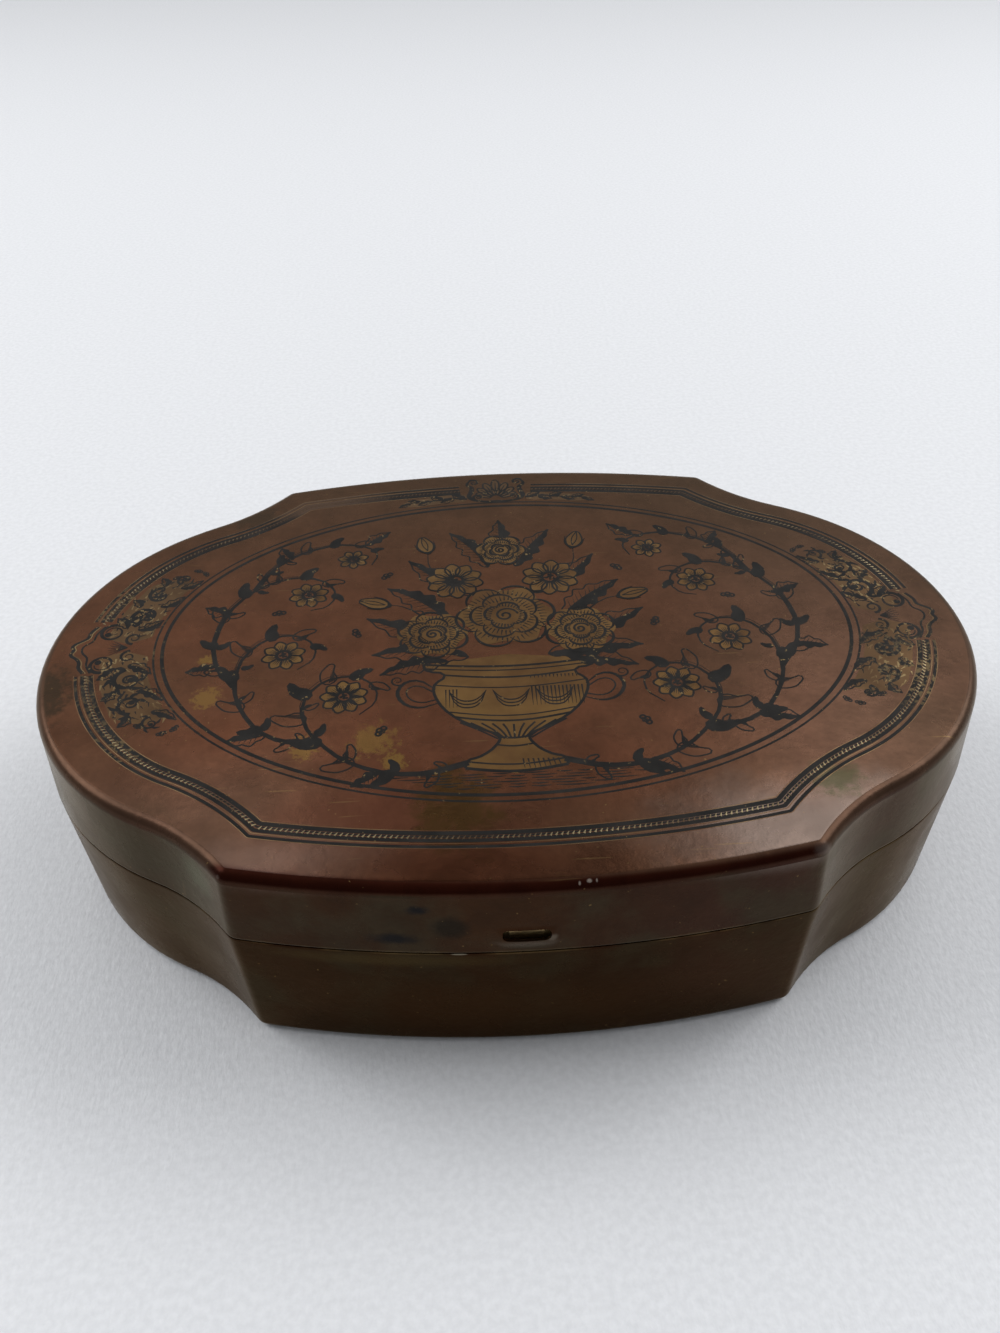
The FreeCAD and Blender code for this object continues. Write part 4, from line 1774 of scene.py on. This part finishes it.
    def crest(self, motifs: Motifs, gold: Pen) -> None:
        """Shell crest that breaks the border at the rear, with a scroll and a leaf spray on each side.

        Args:
            motifs: ornaments with their pens.
            gold: pen for gilt glints.
        """
        hub = Vector((0.0, 52.4))
        for petal in range(-3, 4):
            ray = unit(math.pi / 2 - 0.38 * petal)
            side = across(ray)
            reach = 8.2 - 1.0 * abs(petal)
            belly = hub + ray * (reach * 0.62)
            shoulder = hub + ray * (reach * 0.92)
            lobe = [hub + ray * 1.2, belly + side * 0.9, shoulder + side * 0.65, hub + ray * reach,
                    shoulder - side * 0.65, belly - side * 0.9]
            motifs.areas.fill(lobe)
            motifs.lines.line(lobe, 0.44, closed=True)
            rib = [hub + ray * 1.2, hub + ray * (reach * 0.5), hub + ray * (reach * 0.85)]
            motifs.lines.line(rib, 0.62, Taper.TAIL)
        for hand in (1.0, -1.0):
            self.crest_side(motifs, gold, hand)

    def crest_side(self, motifs: Motifs, gold: Pen, side: float) -> None:
        """Scroll and leaf spray on one side of the crest.

        Args:
            motifs: ornaments with their pens.
            gold: pen for gilt glints.
            side: 1 for the right, -1 for the left.
        """
        lines = motifs.lines
        scroll = path((3.0, 51.2), (5.2, 51.6), (6.5, 53.2), (6.0, 55.2), (5.8, 57.2), (6.9, 58.8),
                      (6.2, 60.6))
        lines.line(mirrored(scroll, side), 1.25, Taper.SWELL)
        lines.line(mirrored(spiral(Vector((5.3, 59.6)), 1.4, 0.3, 40.0, 1.3), side), 0.8, Taper.TAIL)
        lines.line(mirrored(spiral(Vector((4.3, 53.0)), 1.4, 0.3, -60.0, 1.4), side), 0.8, Taper.TAIL)
        lines.line(mirrored(path((0.0, 51.0), (2.4, 50.9), (4.6, 51.4)), side), 0.8)
        ground = path((7.4, 54.2), (12.0, 54.0), (17.0, 53.2), (22.4, 51.2), (21.6, 49.9), (16.0, 50.4),
                      (11.0, 51.0), (7.4, 51.4))
        motifs.areas.fill(mirrored(ground, side))
        stem = path((7.0, 52.4), (11.0, 52.9), (15.0, 52.0), (19.0, 51.7), (23.0, 50.6))
        motifs.tendril(mirrored(stem, side), 0.8)
        for root, tip, width in (((7.6, 52.6), (10.6, 54.2), 2.0), ((10.2, 52.7), (13.4, 51.2), 2.0),
                                 ((12.8, 52.5), (16.0, 53.7), 1.8), ((15.8, 52.0), (18.8, 50.4), 1.6),
                                 ((18.2, 51.7), (21.2, 52.4), 1.4), ((20.6, 51.2), (23.4, 49.6), 1.2)):
            motifs.leaf(*mirrored(path(root, tip), side), width, 2, weight=0.30)
        for fleck in range(12):
            spot = Vector((8.0 + 1.15 * fleck, 51.6 + 1.8 * ((fleck * 5) % 7) / 7 - 0.09 * fleck))
            gold.hatch(*mirrored([spot, spot + Vector((0.55, 0.45))], side), 0.34)

    def urn(self, motifs: Motifs) -> None:
        """Footed urn in the middle, with gadroons, a swag band and close hatching on its right.

        Args:
            motifs: ornaments with their pens.
        """
        lines = motifs.lines
        profile = path((9.2, -37.0), (9.0, -35.4), (6.4, -34.2), (3.4, -31.4), (2.8, -29.4), (5.6, -27.4),
                       (11.0, -23.6), (14.4, -18.4), (14.8, -14.4), (12.8, -11.6), (16.4, -10.0),
                       (17.0, -8.2))
        motifs.areas.fill(profile + mirrored(profile[::-1], -1.0))

        def half_width(y: float) -> float:
            """Half width of the urn at a height of the drawing.

            Args:
                y: height of the drawing.

            Returns:
                Half the width, 0 off the urn.
            """
            for low, high in zip(profile, profile[1:]):
                if low.y <= y <= high.y:
                    return low.x + (high.x - low.x) * (y - low.y) / (high.y - low.y)
            return 0.0

        for side in (1.0, -1.0):
            lines.line(mirrored(profile, side), 0.6)
            handle = path((14.6, -15.6), (18.4, -12.8), (21.4, -14.4), (21.4, -18.2), (18.0, -20.6),
                          (14.2, -19.6))
            lines.line(mirrored(handle, side), 0.8, Taper.SWELL)
            inner = path((15.0, -16.4), (18.2, -14.4), (20.0, -15.4), (19.8, -17.6), (17.4, -19.2),
                         (14.6, -18.6))
            lines.line(mirrored(inner, side), 0.34)
            lines.line(mirrored(spiral(Vector((22.0, -12.6)), 1.6, 0.4, 220.0, 1.4), side), 0.45, Taper.TAIL)
        for y, drop, weight in ((-37.0, 1.2, 0.7), (-35.4, 1.1, 0.4), (-31.4, 0.5, 0.4), (-29.4, 0.4, 0.5),
                                (-23.6, 1.6, 0.5), (-22.2, 1.6, 0.34), (-14.4, 1.5, 0.34), (-11.6, 1.3, 0.5),
                                (-8.2, 1.4, 0.6), (-9.4, 1.4, 0.34)):
            half = half_width(y)
            shares = [step / 4 for step in range(-4, 5)]
            hoop = [Vector((half * share, y - drop * math.cos(math.pi / 2 * share))) for share in shares]
            lines.line(hoop, weight)
        for rib in range(-5, 6):
            crown = -25.2 - 0.2 * (5 - abs(rib))
            lines.line(path((rib * 0.62, -29.9), (rib * 1.25, -27.6), (rib * 2.0, crown)), 0.4)
        for swag in range(-1, 2):
            middle = 8.4 * swag
            for sag in (3.4, 4.3, 5.2):
                lines.line(path((middle - 3.6, -16.4), (middle - 1.8, -15.4 - sag), (middle, -16.0 - sag),
                                (middle + 1.8, -15.4 - sag), (middle + 3.6, -16.4)), 0.4, Taper.SWELL)
        for column in range(14):
            x = 4.0 + 0.75 * column
            for low, high in ((-21.6, -15.9), (-13.9, -12.6)):
                if x < half_width((low + high) / 2) - 0.3:
                    lines.hatch(Vector((x, high)), Vector((x, low + 0.4)), 0.34)
        for column in range(4):
            x = -12.6 + 0.7 * column
            lines.hatch(Vector((x, -15.9)), Vector((x, -21.0)), 0.28)
        for column in range(8):
            upper = Vector((1.2 + 0.9 * column, -35.2 - 0.02 * column))
            lines.hatch(upper, Vector((1.4 + 0.95 * column, -37.6)), 0.34)

    def ground(self, lines: Pen) -> None:
        """Broken hatching that the urn stands on.

        Args:
            lines: pen for dark lines.
        """
        rng = random.Random(11)
        for row in range(6):
            y = -38.6 - 0.66 * row
            reach = 24.0 - 2.6 * row
            x = -reach
            while x < reach:
                length = rng.uniform(2.5, 7.0)
                lines.line(path((x, y), (x + length / 2, y - 0.12), (x + length, y)), 0.34, Taper.SWELL)
                x += length + rng.uniform(0.5, 1.8)

    def sprays(self, motifs: Motifs, side: float) -> None:
        """Scrolling acanthus stems on one side of the urn, each curling round a flower.

        Args:
            motifs: ornaments with their pens.
            side: 1 for the right, -1 for the left.
        """
        stems = (
            (path((8.6, -35.8), (17.0, -38.0), (27.0, -36.0), (35.0, -30.0), (39.6, -22.0), (38.6, -14.5),
                  (33.0, -10.8), (27.4, -12.8), (26.0, -18.0), (29.0, -21.8)), 5.0, 9),
            (path((36.0, -29.0), (44.0, -27.6), (50.6, -21.0), (53.8, -11.0), (52.0, -1.4), (46.0, 2.8),
                  (40.2, 0.6), (39.0, -4.6), (42.0, -8.0)), 4.6, 8),
            (path((53.6, -13.0), (58.6, -5.0), (59.4, 6.0), (55.8, 16.0), (48.6, 22.0), (41.0, 22.2),
                  (36.4, 17.6), (37.4, 12.4), (41.0, 11.0)), 4.4, 8),
            (path((53.6, 18.4), (49.6, 27.6), (41.6, 33.6), (33.0, 34.6), (27.8, 31.0), (28.8, 26.6)),
             3.6, 6),
        )
        for stem, size, teeth in stems:
            way = mirrored(stem, side)
            motifs.tendril(way, 1.1)
            offset = [point + Vector((0.5 * side, 0.6)) for point in way[:-2]]
            motifs.tendril(offset, 0.34)
            motifs.frond(way, -side, size, teeth)
            motifs.frond(way[:-3], side, size * 0.6, max(3, teeth - 4))
        for spot, radius, petals in (((32.2, -16.6), 4.6, 9), ((45.2, -3.4), 4.4, 8), ((41.8, 16.4), 4.2, 8),
                                     ((33.0, 29.0), 3.4, 7)):
            middle = mirrored(path(spot), side)[0]
            motifs.daisy(middle, radius, petals, 0.3)
        for root, tip, width in (((46.0, -26.0), (53.6, -27.6), 3.4), ((24.0, -36.8), (29.6, -40.2), 3.0),
                                 ((57.6, 11.0), (63.4, 13.4), 3.2), ((58.0, -6.0), (64.2, -7.4), 3.2),
                                 ((46.6, 30.0), (49.6, 34.6), 3.0), ((30.4, 34.4), (25.0, 39.4), 3.0)):
            motifs.leaf(*mirrored(path(root, tip), side), width, 3, 0.4)
        for spot, heading in (((24.0, -27.0), 0.6), ((47.4, 9.6), 1.4), ((24.6, 21.6), 0.8),
                              ((30.0, 3.0), -0.4)):
            middle = mirrored(path(spot), side)[0]
            motifs.berries(middle, 0.5, heading if side > 0 else math.pi - heading)

    def bouquet(self, behind: Motifs, ahead: Motifs) -> None:
        """Flowers in the urn: dark leaves behind, roses and ray flowers in front.

        Args:
            behind: ornaments of the lower height.
            ahead: ornaments of the upper height.
        """
        for side in (1.0, -1.0):
            for root, tip, width, bend in (
                    ((8.0, -6.4), (27.4, -4.6), 6.4, 1.4), ((10.0, 0.0), (29.0, 7.4), 6.0, -1.2),
                    ((12.0, 6.0), (25.0, 17.6), 5.6, 1.0), ((6.0, 14.0), (20.6, 27.6), 5.4, -1.0),
                    ((3.0, 24.0), (11.4, 38.0), 5.0, 0.8), ((12.0, -7.6), (25.6, -10.8), 4.4, 1.0)):
                behind.leaf(*mirrored(path(root, tip), side), width, 5, bend * side)
            behind.tendril(mirrored(path((9.0, 16.0), (15.6, 24.0), (16.4, 31.4)), side), 0.5)
            ahead.bud(*mirrored(path((16.2, 30.6), (17.8, 36.6)), side), 3.6)
            behind.tendril(mirrored(path((16.0, 6.0), (21.6, 11.0), (25.4, 11.8)), side), 0.5)
            ahead.bud(*mirrored(path((24.6, 11.6), (30.8, 13.6)), side), 3.4)
            ahead.rose(Vector((15.2 * side, 1.2)), 7.4, 0.4 * side)
            ahead.daisy(Vector((10.4 * side, 19.4)), 6.2, 10, 0.2 * side)
        behind.leaf(Vector((0.0, 30.0)), Vector((0.0, 42.6)), 4.4, 4)
        ahead.rose(Vector((0.0, 30.4)), 5.8, 0.9)
        ahead.rose(Vector((0.0, 6.6)), 10.4, 0.15)

    def scrolls(self) -> None:
        """The cartouches at both ends and the crest at the rear."""
        dark = Pen("scroll_darks", self.finishes.scroll_ink, SUNK, relief=0.030)
        lines = Pen("scroll_lines", self.finishes.scroll_ink, SUNK, relief=0.036)
        shade = Pen("scroll_shade", self.finishes.shade, SUNK, relief=0.013)
        gold = Pen("scroll_glints", self.finishes.scroll_gilt, SUNK, relief=0.028)
        motifs = Motifs(lines, shade, dark)
        self.cartouche(motifs, gold, 1.0)
        self.cartouche(motifs, gold, -1.0)
        self.crest(motifs, gold)
        for pen in (shade, dark, gold, lines):
            pen.build()

    def centre(self) -> None:
        """The urn of flowers and its sprays, in two heights so that the flowers lie over the leaves."""
        back_gilt = Pen("picture_gilt_low", self.finishes.gilt, SUNK, relief=0.014)
        back = Pen("picture_lines_low", self.finishes.picture_ink, SUNK, relief=0.036)
        front_gilt = Pen("picture_gilt", self.finishes.gilt, self.front_level, relief=0.014)
        front = Pen("picture_lines", self.finishes.picture_ink, self.front_level, relief=0.040)
        back_dark = Pen("picture_darks", self.finishes.picture_ink, SUNK, relief=0.030)
        low = Motifs(back, back_gilt, back_dark)
        high = Motifs(front, front_gilt, back_dark)
        self.urn(low)
        self.ground(back)
        self.sprays(low, 1.0)
        self.sprays(low, -1.0)
        self.bouquet(low, high)
        for pen in (back_gilt, back_dark, back, front_gilt, front):
            pen.build()

    def build(self) -> None:
        """Draw everything on the lid."""
        self.border()
        self.ovals()
        self.scrolls()
        self.centre()


# Stage

@dataclass(frozen=True)
class Lamp:
    """A square light turned to the tin: place and width in m, power in W."""

    name: str
    place: Place
    size: float
    power: float

    def hang(self) -> None:
        """Make the light."""
        light = bpy.data.lights.new(self.name, "AREA")
        light.shape = "SQUARE"
        light.size = self.size
        light.energy = self.power
        holder = bpy.data.objects.new(self.name, light)
        where = Vector(self.place)
        holder.matrix_world = Matrix.Translation(where) @ where.to_track_quat("Z", "Y").to_matrix().to_4x4()
        bpy.context.scene.collection.objects.link(holder)


@dataclass
class Stage:
    """Pale table, soft light from both sides, a dark card above the rear, and the camera, in mm."""

    eye: Place = (-6.46, -171.47, 186.19)
    pitch: float = math.radians(40.90)
    yaw: float = math.radians(1.635)
    roll: float = math.radians(1.417)
    focal_pixels: float = 1083.0
    picture_height: float = 1333.0
    sensor: float = 36.0
    nearest: float = 0.01
    table_half: float = 3000.0
    table_drop: float = 0.02
    card_size: Pair = (240.0, 345.0)
    card_place: Place = (-15.0, 232.5, 550.0)
    card_colour: Colour = (0.08, 0.075, 0.075)
    sky_tint: Colour = (0.97, 0.985, 1.0)
    height_span: Pair = (0.35, 0.85)
    height_light: Pair = (0.60, 0.85)
    depth_span: Pair = (-0.5, 0.3)
    depth_light: Pair = (0.36, 1.0)
    lamps: tuple[Lamp, ...] = (
        Lamp("soft_left", (-1.05, 0.35, 0.95), 0.8, 9.0),
        Lamp("soft_right", (1.05, 0.35, 0.95), 0.8, 9.0),
        Lamp("corner_left", (-0.22, 0.53, 0.80), 0.18, 0.24),
        Lamp("corner_right", (0.38, 0.54, 0.80), 0.24, 0.50),
    )

    def floor(self) -> None:
        """Table top, a hair below the tin."""
        bm = bmesh.new()
        bmesh.ops.create_grid(bm, x_segments=1, y_segments=1, size=self.table_half)
        bmesh.ops.translate(bm, vec=(0.0, 0.0, -self.table_drop), verts=bm.verts)
        table = new_piece("table", bm, [TableFinish().make()])

    def card(self) -> None:
        """Dark card above, which the front of the lid mirrors."""
        board = Board("dark_card")
        board.surface(self.card_colour, 0.0, 0.9)
        bm = bmesh.new()
        bmesh.ops.create_grid(bm, x_segments=1, y_segments=1, size=0.5)
        bmesh.ops.scale(bm, vec=(*self.card_size, 1.0), verts=bm.verts)
        bmesh.ops.translate(bm, vec=self.card_place, verts=bm.verts)
        card = new_piece("dark_card", bm, [board.material])
        card.visible_camera = False

    def ramp(self, tree: bpy.types.NodeTree, source: Socket, span: Pair,
             light: Pair) -> Socket:
        """Turn a heading into a strength of the surroundings.

        Args:
            tree: nodes to add to.
            source: one part of the heading.
            span: its values at the two ends.
            light: strength at the two ends.

        Returns:
            The strength.
        """
        node = tree.nodes.new("ShaderNodeMapRange")
        tree.links.new(source, node.inputs["Value"])
        for socket, value in zip(("From Min", "From Max", "To Min", "To Max"), (*span, *light)):
            node.inputs[socket].default_value = value
        return node.outputs[0]

    def surroundings(self) -> None:
        """Pale surroundings, dimmer low down and in front."""
        world = bpy.data.worlds.new("surroundings")
        world.use_nodes = True
        tree = world.node_tree
        background = tree.nodes["Background"]
        background.inputs["Color"].default_value = (*self.sky_tint, 1.0)
        heading = tree.nodes.new("ShaderNodeSeparateXYZ")
        tree.links.new(tree.nodes.new("ShaderNodeTexCoord").outputs["Generated"], heading.inputs[0])
        both = tree.nodes.new("ShaderNodeMath")
        both.operation = "MULTIPLY"
        height = self.ramp(tree, heading.outputs["Z"], self.height_span, self.height_light)
        depth = self.ramp(tree, heading.outputs["Y"], self.depth_span, self.depth_light)
        tree.links.new(height, both.inputs[0])
        tree.links.new(depth, both.inputs[1])
        tree.links.new(both.outputs[0], background.inputs["Strength"])
        bpy.context.scene.world = world

    def lights(self) -> None:
        """The surroundings, a large soft light on each side and a small one over each front corner."""
        self.surroundings()
        for lamp in self.lamps:
            lamp.hang()

    def camera(self) -> None:
        """Camera at the photograph's place, its lens worked out for the whole picture."""
        ahead = Vector((math.sin(self.yaw) * math.cos(self.pitch), math.cos(self.yaw) * math.cos(self.pitch),
                        -math.sin(self.pitch)))
        right = Vector((math.cos(self.yaw), -math.sin(self.yaw), 0.0))
        down = ahead.cross(right)
        tilted_right = right * math.cos(self.roll) + down * math.sin(self.roll)
        tilted_down = down * math.cos(self.roll) - right * math.sin(self.roll)
        lens = bpy.data.cameras.new("camera")
        lens.sensor_width = self.sensor
        lens.lens = self.focal_pixels / self.picture_height * lens.sensor_width
        lens.clip_start = self.nearest
        holder = bpy.data.objects.new("camera", lens)
        turned = Matrix((tilted_right, -tilted_down, -ahead)).transposed().to_4x4()
        holder.matrix_world = Matrix.Translation(Vector(self.eye) * MM) @ turned
        bpy.context.scene.collection.objects.link(holder)
        bpy.context.scene.camera = holder

    def build(self) -> None:
        """Set the stage."""
        self.floor()
        self.card()
        self.lights()
        self.camera()
        bpy.context.scene.view_settings.view_transform = "Standard"


def main() -> None:
    """Build the tin, its print and the stage."""
    logging.basicConfig(level=logging.INFO, format="%(name)s %(message)s")
    finishes = Finishes()
    plan = Plan()
    LidShell(plan).build(finishes)
    BasePan(plan).build(finishes)
    InnerCollar(plan).build(finishes)
    Hinge().build(finishes)
    LidPrint(plan, finishes).build()
    Stage().build()
    bpy.context.view_layer.update()


if __name__ == "__main__":
    main()
